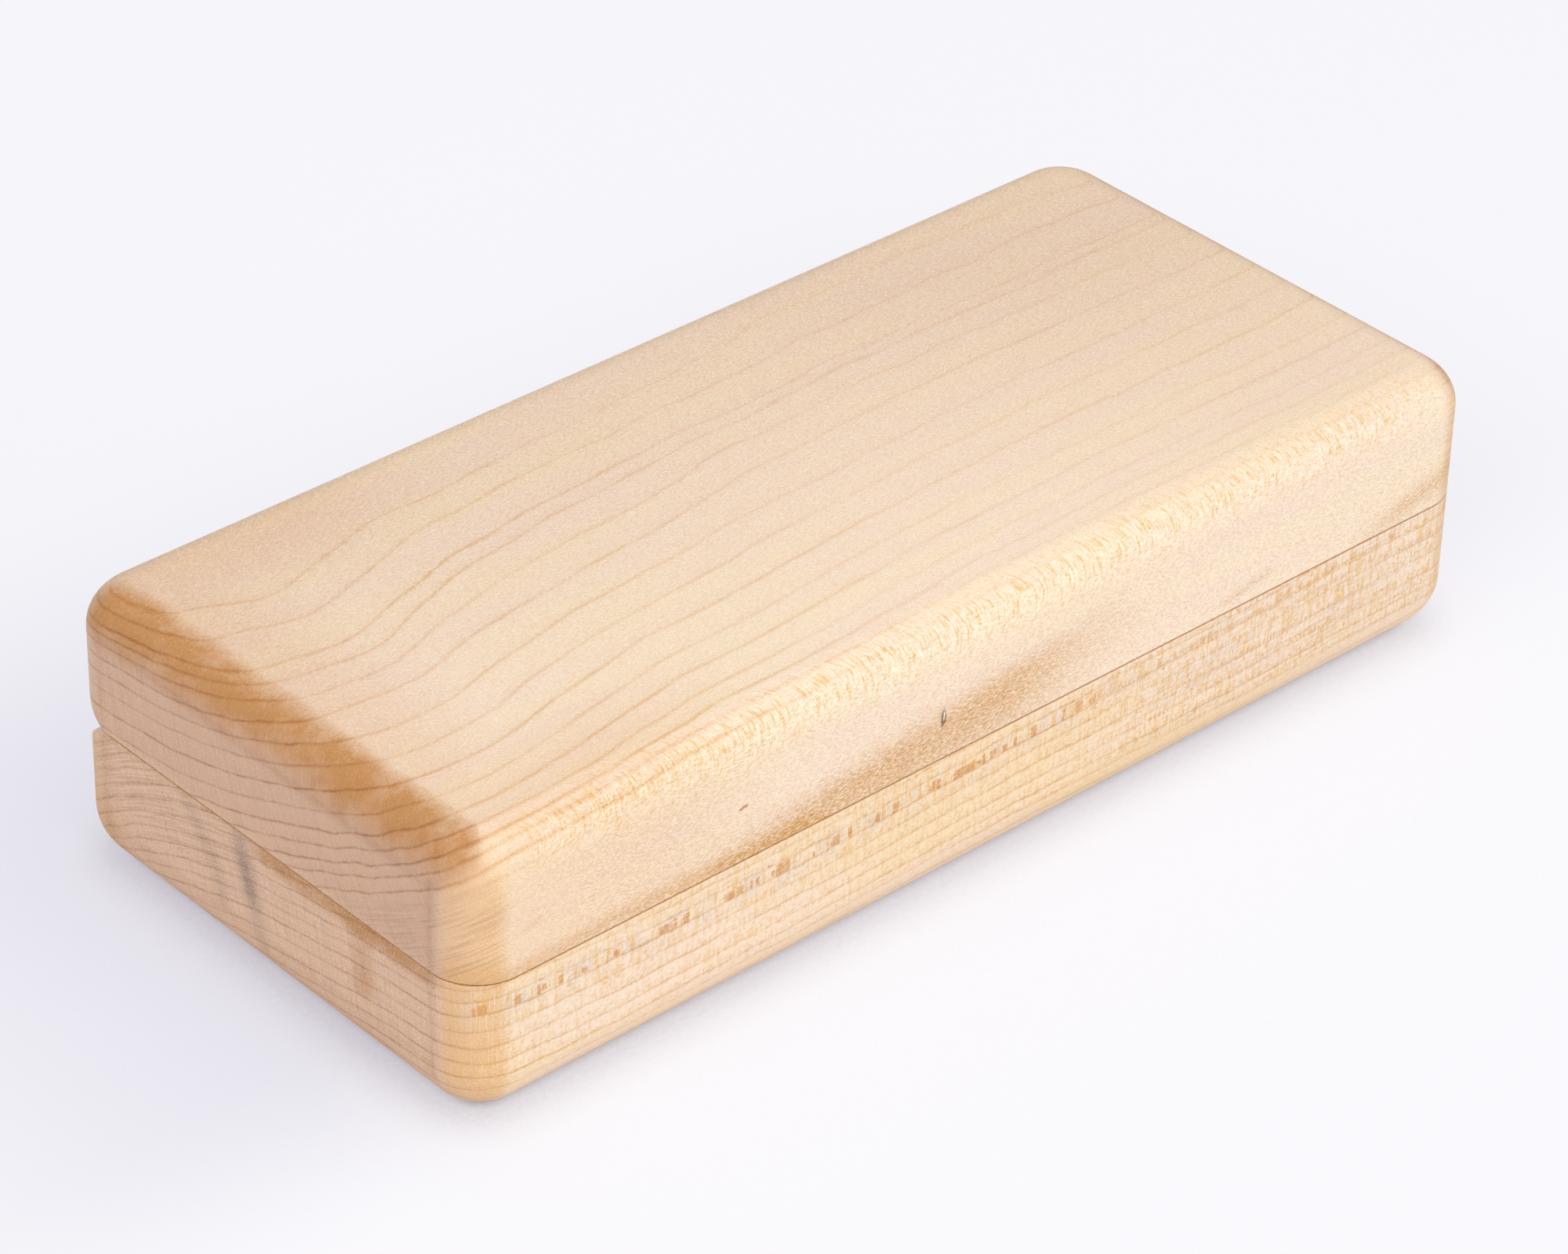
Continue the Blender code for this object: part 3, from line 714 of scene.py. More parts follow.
def block_surface(sizes, height, edge, pocket_depth, rim, inward):
    """One half's block.

    Depth runs from the rim into the wood. The outline follows a quarter round at the outer edge, goes
    straight up the side, and turns over a small quarter round at the seam. At the back it is held in
    front of a large quarter round, which lies along X. Then it crosses the rim in even steps to the
    pocket's outline, turns over its edge and goes down to the pocket's floor.
    """
    steps = (sizes.front_steps, sizes.end_steps)
    radius = sizes.back_round

    def loops(inset, depth):
        """The block's outline at each inset and depth, held in front of the round back edge."""
        corner = sizes.corner - 0.75 * inset
        x, y, arm = outline(HALF_LENGTH - inset, FRONT + inset, BACK - inset, corner, steps)
        left = np.clip(radius - depth, 0, radius)
        limit = (BACK - radius + np.sqrt(radius ** 2 - left ** 2))[:, None]
        soft = 0.0009 * np.cos(arm) ** 2 + 1e-9
        held = np.minimum(y, limit) - np.maximum(soft - np.abs(y - limit), 0) ** 2 / (4 * soft)
        return stacked(x, np.where((depth < radius)[:, None], held, y), depth)

    turn = np.linspace(0, np.pi / 2, EDGE_STEPS)
    outer = loops(edge * (1 - np.sin(turn)), height - edge * (1 - np.cos(turn)))
    side = loops(np.zeros(SIDE_STEPS), np.linspace(height - edge, radius, SIDE_STEPS))
    depth = radius * (1 - np.sin(np.linspace(0, np.pi / 2, BACK_STEPS)))
    lost = np.clip(sizes.arris - depth, 0, sizes.arris)
    seam = loops(sizes.arris - np.sqrt(sizes.arris ** 2 - lost ** 2), depth)

    turn = np.linspace(0, np.pi / 2, POCKET_STEPS)
    wall = np.linspace(sizes.pocket_arris, pocket_depth, POCKET_STEPS)[1:]
    grown = np.concatenate([sizes.pocket_arris * (1 - np.sin(turn)), 0 * wall])
    x, y, _ = pocket_outline(-grown, steps)
    pocket = stacked(x, y, np.concatenate([sizes.pocket_arris * (1 - np.cos(turn)), wall]))
    share = np.linspace(0, 1, RIM_STEPS)[1:-1, None, None]
    rim_rows = (1 - share) * seam[-1] + share * pocket[0]

    band = np.concatenate([outer, side[1:], seam[1:], rim_rows, pocket])
    cap = spanned(outer[0], steps)
    for points in (band, cap):
        points[..., 2] = rim + inward * points[..., 2]
    skin = Skin()
    skin.lattice(band, wrap_columns=True)
    skin.lattice(cap, flip=True)
    skin.plate(band[-1], flip=True)
    return skin.mesh("block", mirrored=inward < 0)


def recesses(rim, inward):
    """Forms that are let into a rim: mortises and magnet holes, and then troughs and screw holes."""
    flat, round_ones = Skin(), Skin()

    def reach(depth):
        """Lower and upper height of a cut this deep, which starts above the rim."""
        return sorted((rim + inward * depth, rim - inward * CUT_ABOVE_RIM))

    for middle in (-HINGE_MIDDLE, HINGE_MIDDLE):
        x0, x1 = middle - HINGE_HALF_LENGTH - GAP, middle + HINGE_HALF_LENGTH + GAP
        y0, y1 = LEAF_EDGE - GAP, PIN_Y
        flat.prism([(x0, y0), (x1, y0), (x1, y1), (x0, y1)], reach(LEAF_THICKNESS + GAP))
        ends = (middle - TROUGH_HALF_LENGTH, middle + TROUGH_HALF_LENGTH)
        round_ones.prism(circle(PIN_Y, PIN_Z, KNUCKLE_ROOM, 64), ends, lying=True)
        for x in (middle - SCREW_HALF_SPACING, middle + SCREW_HALF_SPACING):
            round_ones.prism(circle(x, SCREW_Y, SCREW_HOLE, 24), reach(SCREW_DEPTH))
    for x in (-MAGNET_X, MAGNET_X):
        flat.prism(circle(x, MAGNET_Y, MAGNET_HOLE, 48), reach(MAGNET_DEPTH))
    return flat, round_ones


def floor_felt_surface(floor, inward):
    """A felt sheet with soft edges. Its face rises and falls by a tenth of a millimetre in slow waves."""
    steps = (120, 40)
    turn = np.linspace(0, np.pi / 2, 6)
    shrink = np.concatenate([[0.0], FELT_EDGE * (1 - np.cos(turn))])
    x, y, _ = pocket_outline(FLOOR_INSET + shrink, steps)
    band = stacked(x, y, np.concatenate([[0.0], FLOOR_THICKNESS - FELT_EDGE * (1 - np.sin(turn))]))
    cap = spanned(band[-1], steps)
    x, y = cap[..., 0], cap[..., 1]
    edge = np.minimum.reduce([POCKET_HALF_LENGTH - np.abs(x), y - POCKET_FRONT, POCKET_BACK - y])
    wave = np.sin(x * 310) * np.sin(y * 420 + 0.7) + 0.6 * np.sin(x * 170 + y * 260)
    cap[..., 2] += 0.00006 * (wave - 1.6) * np.clip((edge - FLOOR_INSET) / 0.004, 0, 1)
    for points in (band, cap):
        points[..., 2] = floor - inward * points[..., 2]
    skin = Skin()
    skin.lattice(band, wrap_columns=True, flip=True)
    skin.lattice(cap, flip=True)
    skin.plate(band[0], flip=True)
    return skin.mesh("felt", mirrored=inward > 0)


def wall_felt_surface(floor, inward, rise):
    """A felt strip round the pocket.

    Its section is a tall rectangle with round corners, carried round the pocket's outline. The strip
    swells and its upper edge dips by a few hundredths of a millimetre, and its ends meet in a fine
    joint in the middle of the back.
    """
    low, high, outer = STRIP_EDGE, rise - STRIP_EDGE, STRIP_THICKNESS - STRIP_EDGE
    turn = np.radians(np.linspace(0, 90, 5))
    section = []
    for q, h, start in ((low, low, 180), (outer, low, 270), (outer, high, 0), (low, high, 90)):
        angle = np.radians(start) + turn
        section.append(np.c_[q + STRIP_EDGE * np.cos(angle), h + STRIP_EDGE * np.sin(angle)])
        if start in (270, 90):
            levels = np.linspace(section[-1][-1, 1], high if start == 270 else low, 8)[1:-1]
            section.append(np.c_[np.full(6, section[-1][-1, 0]), levels])
    section = np.vstack(section)
    x, y, arm = pocket_outline(GAP + section[:, 0], (150, 40), gather=0.85)
    column = np.arange(x.shape[1])
    swell = 0.00005 * (np.sin(column * 0.21) + np.sin(column * 0.083 + 1.0)) - 0.0001
    joint = -0.0005 * np.exp(-(x / 0.00022) ** 2) * (y > 0)
    shift = (swell + joint) * np.clip(section[:, :1] / STRIP_THICKNESS, 0, 1)
    z = section[:, 1:] - np.abs(swell) * 1.5 * np.clip(section[:, 1:] / rise, 0, 1) ** 4
    skin = Skin()
    skin.lattice(np.stack([x - shift * np.cos(arm), y - shift * np.sin(arm), floor - inward * z], -1),
                 wrap_rows=True, wrap_columns=True)
    return skin.mesh("felt", mirrored=inward > 0)


# Finishes


class Value:
    """An output of a node. Plain arithmetic on it adds Math nodes."""

    def __init__(self, wiring, socket):
        self.wiring = wiring
        self.socket = socket

    def __add__(self, other):
        return self.wiring.math("ADD", self, other)

    def __sub__(self, other):
        return self.wiring.math("SUBTRACT", self, other)

    def __rsub__(self, other):
        return self.wiring.math("SUBTRACT", other, self)

    def __mul__(self, other):
        return self.wiring.math("MULTIPLY", self, other)

    def __truediv__(self, other):
        return self.wiring.math("DIVIDE", self, other)

    def __neg__(self):
        return self.wiring.math("MULTIPLY", self, -1.0)


def is_vector(value):
    """Whether a value comes from an output that gives vectors."""
    return isinstance(value, Value) and value.socket.type == "VECTOR"


class Wiring:
    """Adds nodes to a tree and links them, with plain values where there is no link."""

    def __init__(self, tree):
        self.tree = tree
        self.column = 0

    def node(self, kind, inputs=None, **settings):
        """A node with its settings, and its inputs by name or number."""
        made = self.tree.nodes.new(kind)
        made.location = (200 * (self.column % 12) - 1600, 500 - 190 * (self.column // 12))
        self.column += 1
        for name, value in settings.items():
            setattr(made, name, value)
        for key, value in (inputs or {}).items():
            self.feed(made.inputs[key], value)
        return made

    def value(self, kind, inputs=None, output=0, **settings):
        """One output of a new node."""
        return Value(self, self.node(kind, inputs, **settings).outputs[output])

    def feed(self, socket, value):
        """Links an output to a socket, or sets the socket's own value."""
        if isinstance(value, Value):
            self.tree.links.new(value.socket, socket)
        else:
            socket.default_value = (*value, 1.0) if socket.type == "RGBA" else value

    def math(self, operation, *values, clamp=False):
        """A Math node."""
        return self.value("ShaderNodeMath", dict(enumerate(values)), operation=operation, use_clamp=clamp)

    def vector(self, operation, *values, output=0):
        """A Vector Math node."""
        return self.value("ShaderNodeVectorMath", dict(enumerate(values)), output, operation=operation)

    def split(self, vector):
        """The three parts of a vector or colour."""
        made = self.node("ShaderNodeSeparateXYZ", {0: vector})
        return [Value(self, part) for part in made.outputs]

    def joined(self, *parts):
        """A vector of its parts."""
        return self.value("ShaderNodeCombineXYZ", dict(enumerate(parts)))

    def placed(self, vector, location=(0, 0, 0), turn=0.0, scale=(1, 1, 1)):
        """A place as seen from a form that is moved, tilted about Y by some degrees, and scaled."""
        return self.value("ShaderNodeMapping", {
            "Vector": vector, "Location": location, "Rotation": (0, math.radians(turn), 0), "Scale": scale,
        }, vector_type="TEXTURE")

    def noise(self, vector, scale=1.0, detail=2.0, roughness=0.5, distortion=0.0):
        """Noise from about 0 to 1. Its scale is one number, or one for each direction."""
        if isinstance(scale, tuple):
            vector, scale = self.vector("MULTIPLY", vector, scale), 1.0
        return self.value("ShaderNodeTexNoise", {
            "Vector": vector, "Scale": scale, "Detail": detail, "Roughness": roughness,
            "Distortion": distortion,
        })

    def ramp(self, value, low, high, to_low=0.0, to_high=1.0):
        """A smooth rise between two values."""
        return self.value("ShaderNodeMapRange", {
            "Value": value, "From Min": low, "From Max": high, "To Min": to_low, "To Max": to_high,
        }, interpolation_type="SMOOTHSTEP")

    def mix(self, share, first, second, blend="MIX"):
        """A mix of two colours."""
        made = self.node("ShaderNodeMix", data_type="RGBA", blend_type=blend)
        made.clamp_factor = True
        for key, value in (("Factor", share), (6, first), (7, second)):
            self.feed(made.inputs[key], value)
        return Value(self, made.outputs[2])

    def dyed(self, share, colour, tint):
        """A colour that is dyed by a share of a transparent tint."""
        return self.mix(share, colour, self.mix(1.0, colour, tint, "MULTIPLY"))

    def attribute(self, name, output="Fac"):
        """A value that is stored on the mesh."""
        return self.value("ShaderNodeAttribute", output=output, attribute_name=name)

    def place(self):
        """Place on the object, in metres."""
        return self.value("ShaderNodeTexCoord", output="Object")

    def group(self, name, formula, **given):
        """Results of a shared node group by name. The formula fills the group at its first use."""
        tree = bpy.data.node_groups.get(name)
        if tree is None:
            tree = bpy.data.node_groups.new(name, "ShaderNodeTree")
            for label, value in given.items():
                kind = "Vector" if isinstance(value, tuple) or is_vector(value) else "Float"
                tree.interface.new_socket(label, in_out="INPUT", socket_type="NodeSocket" + kind)
            inner = Wiring(tree)
            start = inner.node("NodeGroupInput").outputs
            results = formula(inner, **{label: Value(inner, start[label]) for label in given})
            for label in results:
                tree.interface.new_socket(label, in_out="OUTPUT", socket_type="NodeSocketFloat")
            inner.node("NodeGroupOutput", results)
        made = self.node("ShaderNodeGroup", node_tree=tree)
        for label, value in given.items():
            self.feed(made.inputs[label], value)
        return {socket.name: Value(self, socket) for socket in made.outputs}


class Paint:
    """A colour that others are laid over in turn."""

    def __init__(self, wiring, colour):
        self.wiring = wiring
        self.colour = colour

    def cover(self, share, colour):
        """Lays a share of an opaque colour over it."""
        self.colour = self.wiring.mix(share, self.colour, colour)

    def dye(self, share, *tint):
        """Dyes it by a share of a transparent tint."""
        self.colour = self.wiring.dyed(share, self.colour, tint)


def growth_rings(w, ring, ring_width, level, wood, line_width, fade_length, wander):
    """Lines of the growth rings.

    The distance from a point to the nearest ring's line is the ring number's distance from a whole
    number times the ring's width, after noise has made the ring wander. The line is a bell over that
    distance. On the side of the pith, late wood fades out over about a millimetre. Each ring has its
    own strength, and a line grows weaker and stronger along its way. Fine lines are noise that is
    thin across the rings and long along them.
    """
    slow = w.noise(wood, (0.14, 0.18, 0.18), 3, 0.42)
    ring = ring + (slow - 0.5) * wander / ring_width
    nearest = w.math("FLOOR", ring + 0.5)
    past = (ring - nearest) * ring_width
    ratio = past / line_width
    own = w.value("ShaderNodeTexWhiteNoise", {"W": nearest}, "Value", noise_dimensions="1D")
    along = w.ramp(w.noise(wood, (0.07, 0.3, 0.3), 4, 0.6), 0.32, 0.66, 0.45, 1.0)
    strength = (own * 0.4 + 0.6) * along
    x, beside, _ = w.split(wood)
    thin = w.joined(level * 2.4, x * 0.06, beside * 0.07)
    return {
        "line": w.math("EXPONENT", -(ratio * ratio)) * strength,
        "fade": w.math("EXPONENT", -past / fade_length) * w.math("GREATER_THAN", past, 0.0) * strength,
        "fine": w.ramp(w.noise(thin, 1.0, 2, 0.6), 0.42, 0.66),
        "number": w.math("FLOOR", ring),
    }


def ray_flecks(w, wood, face, ring, number, amount):
    """Rays, cut lengthwise, across and slanting.

    Hairs are noise that is thin across the rays and long along them. Arcs are the same on a slanting
    cut, on a place that is bowed already. Dashes fill cells of uneven length along the grain: a cell
    has one where its random value is low, and each dash has its own height between two rings.
    Specks are smaller and have no cells, stripes are pinstripes, bands are wider stripes, tufts are
    short stripes that stand on a ring's line, and blots are slow patches.
    """
    x, _, _ = w.split(face)
    uneven = w.noise(w.joined(x * 0.16, number * 7.37))
    jagged = w.noise(face, (0.9, 2.2, 1), 3, 0.6)
    run = x * 1.05 + jagged * 0.7 + uneven * 9.0
    cell = w.math("FLOOR", run)
    part = run - cell
    window = w.ramp(part, 0.0, 0.14) * w.ramp(part, 0.82, 0.98, 1.0, 0.0)
    lot = w.node("ShaderNodeTexWhiteNoise", {"Vector": w.joined(cell, number)}, noise_dimensions="3D").outputs
    middle, half, _ = w.split(Value(w, lot["Color"]))
    height = ring - number
    off = w.math("ABSOLUTE", height - (middle * 0.5 + 0.25)) - (half * 0.3 + 0.18)
    tall = w.ramp(off, -0.1, 0.06, 1.0, 0.0)
    shown = w.ramp(amount - Value(w, lot["Value"]), -0.02, 0.1)
    combed = w.ramp(w.noise(face, (4.5, 0.5, 1), 2, 0.6), 0.3, 0.52, 0.3, 1.0)
    short = w.ramp(w.noise(face, (2.1, 0.65, 1), 2, 0.6), 0.48, 0.57)
    return {
        "hair": w.ramp(w.noise(wood, (0.9, 3.4, 0.16), 3, 0.65), 0.4, 0.7),
        "arc": w.ramp(w.noise(face, (2.5, 0.42, 1), 2, 0.6), 0.51, 0.62),
        "ripple": w.noise(face, (4.2, 0.45, 1), 2, 0.6),
        "dash": window * tall * shown * combed,
        "speck": w.ramp(w.noise(face, (2.2, 0.9, 1), 2, 0.55), 0.56, 0.66),
        "stripe": w.noise(face, (3.2, 0.17, 1), 3, 0.7),
        "band": w.ramp(w.noise(face, (1.3, 0.24, 1), 2, 0.6), 0.5, 0.62),
        "tuft": short * w.ramp(height, 0.1, 0.75, 1.0, 0.15),
        "blot": w.ramp(w.noise(face, (0.3, 0.25, 1), 4, 0.75), 0.42, 0.56),
    }


def fine_grain(w, wood):
    """Pores and sanded relief: a fine mottle, short dashes along the grain, a slow change of tone, and pores.
    The finish paints the mottle and pores partly as the relief's shade and highlight.
    """
    return {
        "mottle": w.noise(w.placed(wood, turn=-10, scale=(0.7, 0.19, 0.19)), 1.0, 2, 0.6),
        "dashes": w.ramp(w.noise(wood, (0.8, 5, 5)), 0.56, 0.72),
        "tone": w.ramp(w.noise(wood, (0.02, 0.14, 0.1), 3, 0.55), 0.36, 0.64),
        "pores": w.ramp(w.noise(wood, (2.4, 7.5, 7.5), 2, 0.6), 0.36, 0.64),
    }


def new_material(name, roughness, metallic=0.0, specular=0.5):
    """A material with its shader's plain values. It returns the material, wiring and shader."""
    material = bpy.data.materials.new(name)
    material.use_nodes = True
    shader = material.node_tree.nodes["Principled BSDF"]
    shader.inputs["Roughness"].default_value = roughness
    shader.inputs["Metallic"].default_value = metallic
    shader.inputs["Specular IOR Level"].default_value = specular
    return material, Wiring(material.node_tree), shader


def give_surface(w, shader, colour, relief, strength, depth):
    """Gives a shader its colour and a bump of this depth."""
    w.feed(shader.inputs["Base Color"], colour)
    bump = w.value("ShaderNodeBump", {"Strength": strength, "Distance": depth, "Height": relief})
    w.feed(shader.inputs["Normal"], bump)


def maple(name, colours, cream, end_colour, line_width, line_tint, end_tint, pore_depth, knots):
    """Oiled maple. The ground takes painted shade, end grain and marks, then rings, rays and the seam's
    painted shade, and then fine grain that is partly painted shade and highlight.
    """
    material, w, shader = new_material(name, 0.5, specular=0.3)
    wood, face, ring = w.attribute("wood", "Vector"), w.attribute("face", "Vector"), w.attribute("ring")
    mask = {label: w.attribute(label) for label in MASKS}
    end, gold, dashes, grit = (mask[label] for label in ("end", "gold", "dashes", "grit"))
    rings = w.group("Growth rings", growth_rings, ring=ring, ring_width=w.attribute("ring_width"),
                    level=w.attribute("level"), wood=wood, fade_length=5 * line_width, wander=0.9,
                    line_width=end * (0.16 - line_width) + line_width)
    rays = w.group("Ray flecks", ray_flecks, wood=wood, face=face, ring=ring, number=rings["number"],
                   amount=0.44)
    grain = w.group("Fine grain", fine_grain, wood=wood)

    # Ground, painted shade towards the back, end grain, oil and stain
    paint = Paint(w, w.mix(grain["tone"], cream, colours.pink))
    # Painted shade: the lid darkens towards its back and on its top's right, where light from the front falls
    # less; the base has none
    paint.dye(1.0 - mask["pale"], 0.83, 0.77, 0.74)
    paint.dye(mask["tan"], 0.93, 0.83, 0.75)
    paint.cover(mask["warm"] * 0.9, colours.amber)
    paint.cover(end, end_colour)
    paint.cover(mask["seam"] * 0.6, colours.peach)
    cloud = w.noise(wood, (0.5, 0.22, 0.5), 4, 0.7)
    fingers = w.noise(wood, (0.14, 0.13, 0.14))
    uneven = (fingers - 0.5) * 0.8 + (cloud * 0.3 - 0.15)
    filled = w.math("ADD", gold, uneven, clamp=True) * w.ramp(gold, 0.0, 0.3)
    paint.cover((rings["line"] * 0.3 + w.ramp(cloud, 0.3, 0.65, 0.86, 1.14)) * filled, colours.gold)
    paint.cover(mask["stain"] * w.ramp(grain["mottle"], 0.64, 0.38, 0.78, 1.12), colours.stain)

    # Rays, with the row of dashes between two rings of the base's front
    ragged = w.noise(face, (0.5, 0.9, 1), 3, 0.6) * 0.7 + (ring - 0.35)
    row = w.ramp(ragged, 18.75, 18.95) * w.ramp(ragged, 19.95, 20.2, 1.0, 0.0) * mask["accent"]
    rayed = w.math("MAXIMUM", dashes, row)
    patches = w.ramp(w.noise(face, (0.07, 0.16, 1), 3, 0.6), 0.35, 0.6, 0.3, 1.0)
    for share, colour in (
        (w.math("MAXIMUM", mask["lilac"], row) * rays["blot"] * 0.65, colours.lilac),
        (rayed * rays["band"] * (mask["accent"] * 0.35 + 0.5), colours.ray),
        (dashes * rays["tuft"] * 0.8, colours.ray),
        (dashes * rays["speck"] * patches * 0.9, colours.speck),
        (rayed * w.ramp(rays["stripe"], 0.51, 0.62) * 0.5, colours.pale_ray),
        (rays["dash"] * row * 0.88, colours.dark_ray),
        (mask["arcs"] * rays["arc"] * 0.9, colours.ray),
        (mask["arcs"] * rays["speck"] * 0.45, colours.ray),
        (mask["arcs"] * w.ramp(rays["ripple"], 0.5, 0.66) * 0.7, colours.pale_ray),
    ):
        paint.cover(share, colour)

    # Growth rings, end grain, saw facets, mineral streak, knots, and the seam's painted shade
    line = rings["line"] * mask["strength"]
    paint.dye(rings["fade"] * mask["strength"] * 0.3, 0.84, 0.76, 0.62)
    paint.dye(line * (1.0 - end), *line_tint)
    paint.dye(line * end, *end_tint)
    paint.dye(rings["fine"] * mask["fine"] * 0.6, 0.72, 0.64, 0.58)
    paint.dye(rays["hair"] * (end * 0.42 + 0.04), 0.78, 0.72, 0.68)
    paint.dye(mask["facet"] * 0.5, 0.6, 0.44, 0.36)
    slow = w.ramp(w.noise(wood, 0.35, 4, 0.65), 0.3, 0.7, 0.8, 1.0)
    paint.cover(mask["mineral"] * slow * 0.75, colours.mineral)
    for x, z, wide, high, tilt, colour in knots:
        place = w.place()
        apart = w.vector("LENGTH", w.placed(place, (x, FRONT, z), tilt, (wide, 0.004, high)), output="Value")
        distance = w.noise(place, 2600.0) * 0.9 + (apart - 0.45)
        paint.cover(w.ramp(distance, 0.5, 1.05, 1.0, 0.0) * 0.9, colour)
    # Painted shade: the seam's dark hairline, laid on the rims' eased edges
    paint.cover(mask["shut"] * 0.85, colours.shut)

    # Fine mottle and pores, partly the wood's own tone and partly painted shade and highlight of its relief,
    # and the relief itself
    # Partly painted shade and highlight: the mottle's dark specks, its pale specks in the pale rays' colour,
    # and a pore multiply that darkens and lightens stand for the sanded relief's light as well as the wood's
    # own tone
    paint.dye(w.ramp(grain["mottle"], 0.54, 0.3) * grit, 0.88, 0.8, 0.7)
    paint.cover(w.ramp(grain["mottle"], 0.48, 0.7) * grit * 0.5, colours.pale_ray)
    paint.dye(grain["dashes"] * (end * -0.12 + 0.16), 0.82, 0.7, 0.56)
    pores = grain["pores"] * -pore_depth + (1 + 0.45 * pore_depth)
    w.feed(shader.inputs["Roughness"], grain["mottle"] * 0.14 + 0.42)
    give_surface(w, shader, w.mix(1.0, paint.colour, pores, "MULTIPLY"),
                 grain["mottle"] + rings["line"] * -0.5, 0.8, 0.00006)
    return material


def drawn_metal(w, place, direction):
    """Drawn and lightly polished metal: fine lines along it, dull patches, and a bump for both."""
    lines = w.noise(w.vector("MULTIPLY", place, direction), 1.0, 4, 0.7)
    patches = w.noise(place, 320.0, 4, 0.6)
    return {"lines": lines, "patches": w.ramp(patches, 0.42, 0.68), "height": patches * 0.4 + lines}


def metal(name, bright, dull, roughness, direction):
    """Drawn metal with dull patches."""
    material, w, shader = new_material(name, roughness, metallic=1.0)
    drawn = w.group("Drawn metal", drawn_metal, place=w.place(), direction=direction)
    w.feed(shader.inputs["Roughness"], drawn["patches"] * 0.2 + roughness)
    colour = w.mix(drawn["lines"] * 0.3 + drawn["patches"] * 0.35, bright, dull)
    give_surface(w, shader, colour, drawn["height"], 0.3, 0.00002)
    return material


def wool_fibres(w, place):
    """Felted fibres: hair-thin curls in all directions, small tufts, and slow pressed hollows."""
    curls = w.noise(place, 3800.0, 3, 0.6, 2.2)
    crossing = w.noise(place, (2600.0, 900.0, 1700.0), 3, 0.6, 1.6)
    tufts = w.noise(place, 620.0, 3, 0.55)
    return {
        "fibres": w.ramp(w.math("MAXIMUM", curls, crossing), 0.52, 0.72),
        "tufts": w.ramp(tufts, 0.35, 0.68),
        "height": tufts * 0.8 + (w.noise(place, 90.0) * 0.7 + curls * 0.6),
    }


def felt(name, finish):
    """Wool felt with lighter fibres, darker tufts and a soft sheen."""
    material, w, shader = new_material(name, 0.95, specular=0.2)
    wool = w.group("Wool fibres", wool_fibres, place=w.place())
    shader.inputs["Sheen Weight"].default_value = 0.25
    shader.inputs["Sheen Roughness"].default_value = 0.55
    ground = w.mix(wool["tufts"], w.mix(1.0, finish.wool, (0.62, 0.62, 0.62), "MULTIPLY"), finish.wool)
    give_surface(w, shader, w.mix(wool["fibres"] * 0.45, ground, finish.fibre), wool["height"], 0.7, 0.00022)
    return material


def woven_cloth(name, colour, foot_x, foot_y):
    """White cotton in a fine plain weave.

    The weave's gaps are dyed dark as painted shade within about a centimetre of the foot that the case stands
    on. For camera, glossy and transmission rays part of the cloth's brightness is a painted glow, weak next
    to the case and strong further out, so that it lifts the case's shadow; the glow holds a painted bluish
    shadow beside and behind the case.
    """
    material, w, shader = new_material(name, 0.9, specular=0.1)
    place = w.place()
    slanting = w.value("ShaderNodeMapping", {"Vector": place, "Rotation": (0, 0, THREAD_SLANT)})
    along, across, _ = w.split(slanting)
    warp = w.math("SINE", along * (2 * math.pi / WARP_PITCH))
    weave = warp * w.math("SINE", across * (2 * math.pi / WEFT_PITCH))
    threads = weave * 0.4 + (w.noise(slanting, 1400.0, 3, 0.6) * 0.5 + 0.25)
    beyond = w.vector("MAXIMUM", w.vector("SUBTRACT", w.vector("ABSOLUTE", place), (foot_x, foot_y, 1.0)),
                      (0.0, 0.0, 0.0))
    away = w.vector("LENGTH", beyond, output="Value")
    # Painted shade: the weave's gaps are dyed dark within about a centimetre of the case's foot, where its
    # shadow falls, and hardly beyond
    shaded_weave_gaps = w.ramp(threads, 0.85, 0.25) * w.ramp(away, 0.003, 0.013, 1.0, 0.05)
    give_surface(w, shader, w.dyed(shaded_weave_gaps, colour, (0.6, 0.56, 0.62)), threads, 0.25, 0.00006)

    # Painted shadow: beside and behind the case, more on its left, the glow's colour darkens to a bluish
    # shade that fades over some centimetres; near the foot it also takes the weave's painted shade
    x, y, _ = w.split(place)
    beside = w.ramp(x, 0.06, -0.1, 0.5, 1.0) * w.ramp(y, -0.045, -0.01)
    shadow = beside * w.ramp(away, 0.012, 0.08, 0.2, 0.04)
    own = w.mix(shaded_weave_gaps * 0.32, w.mix(shadow, (0.95, 0.94, 0.975), (0.06, 0.08, 0.38)), (0.62, 0.57, 0.66))
    # Painted light: the cloth glows with this colour though it is no lamp
    painted_glow = w.value("ShaderNodeEmission", {"Color": own, "Strength": 1.0})
    ray = w.node("ShaderNodeLightPath").outputs
    camera, glossy, through = (
        Value(w, ray[f"Is {kind} Ray"]) for kind in ("Camera", "Glossy", "Transmission")
    )
    seen = w.math("MAXIMUM", camera, w.math("MAXIMUM", glossy, through))
    # The painted glow is weak next to the case's foot and strong further out, so that it lifts the case's
    # real shadow away from the foot
    painted_glow_share = seen * (w.ramp(away, 0.0018, 0.005, 0.08, 0.62) + w.ramp(away, 0.006, 0.018, 0.0, 0.18))
    both = w.value("ShaderNodeMixShader", {0: painted_glow_share, 1: Value(w, shader.outputs[0]), 2: painted_glow})
    w.feed(material.node_tree.nodes["Material Output"].inputs["Surface"], both)
    return material


def finish_named(name, build, *values):
    """The material of this name, which is made at its first use."""
    return bpy.data.materials.get(name) or build(name, *values)


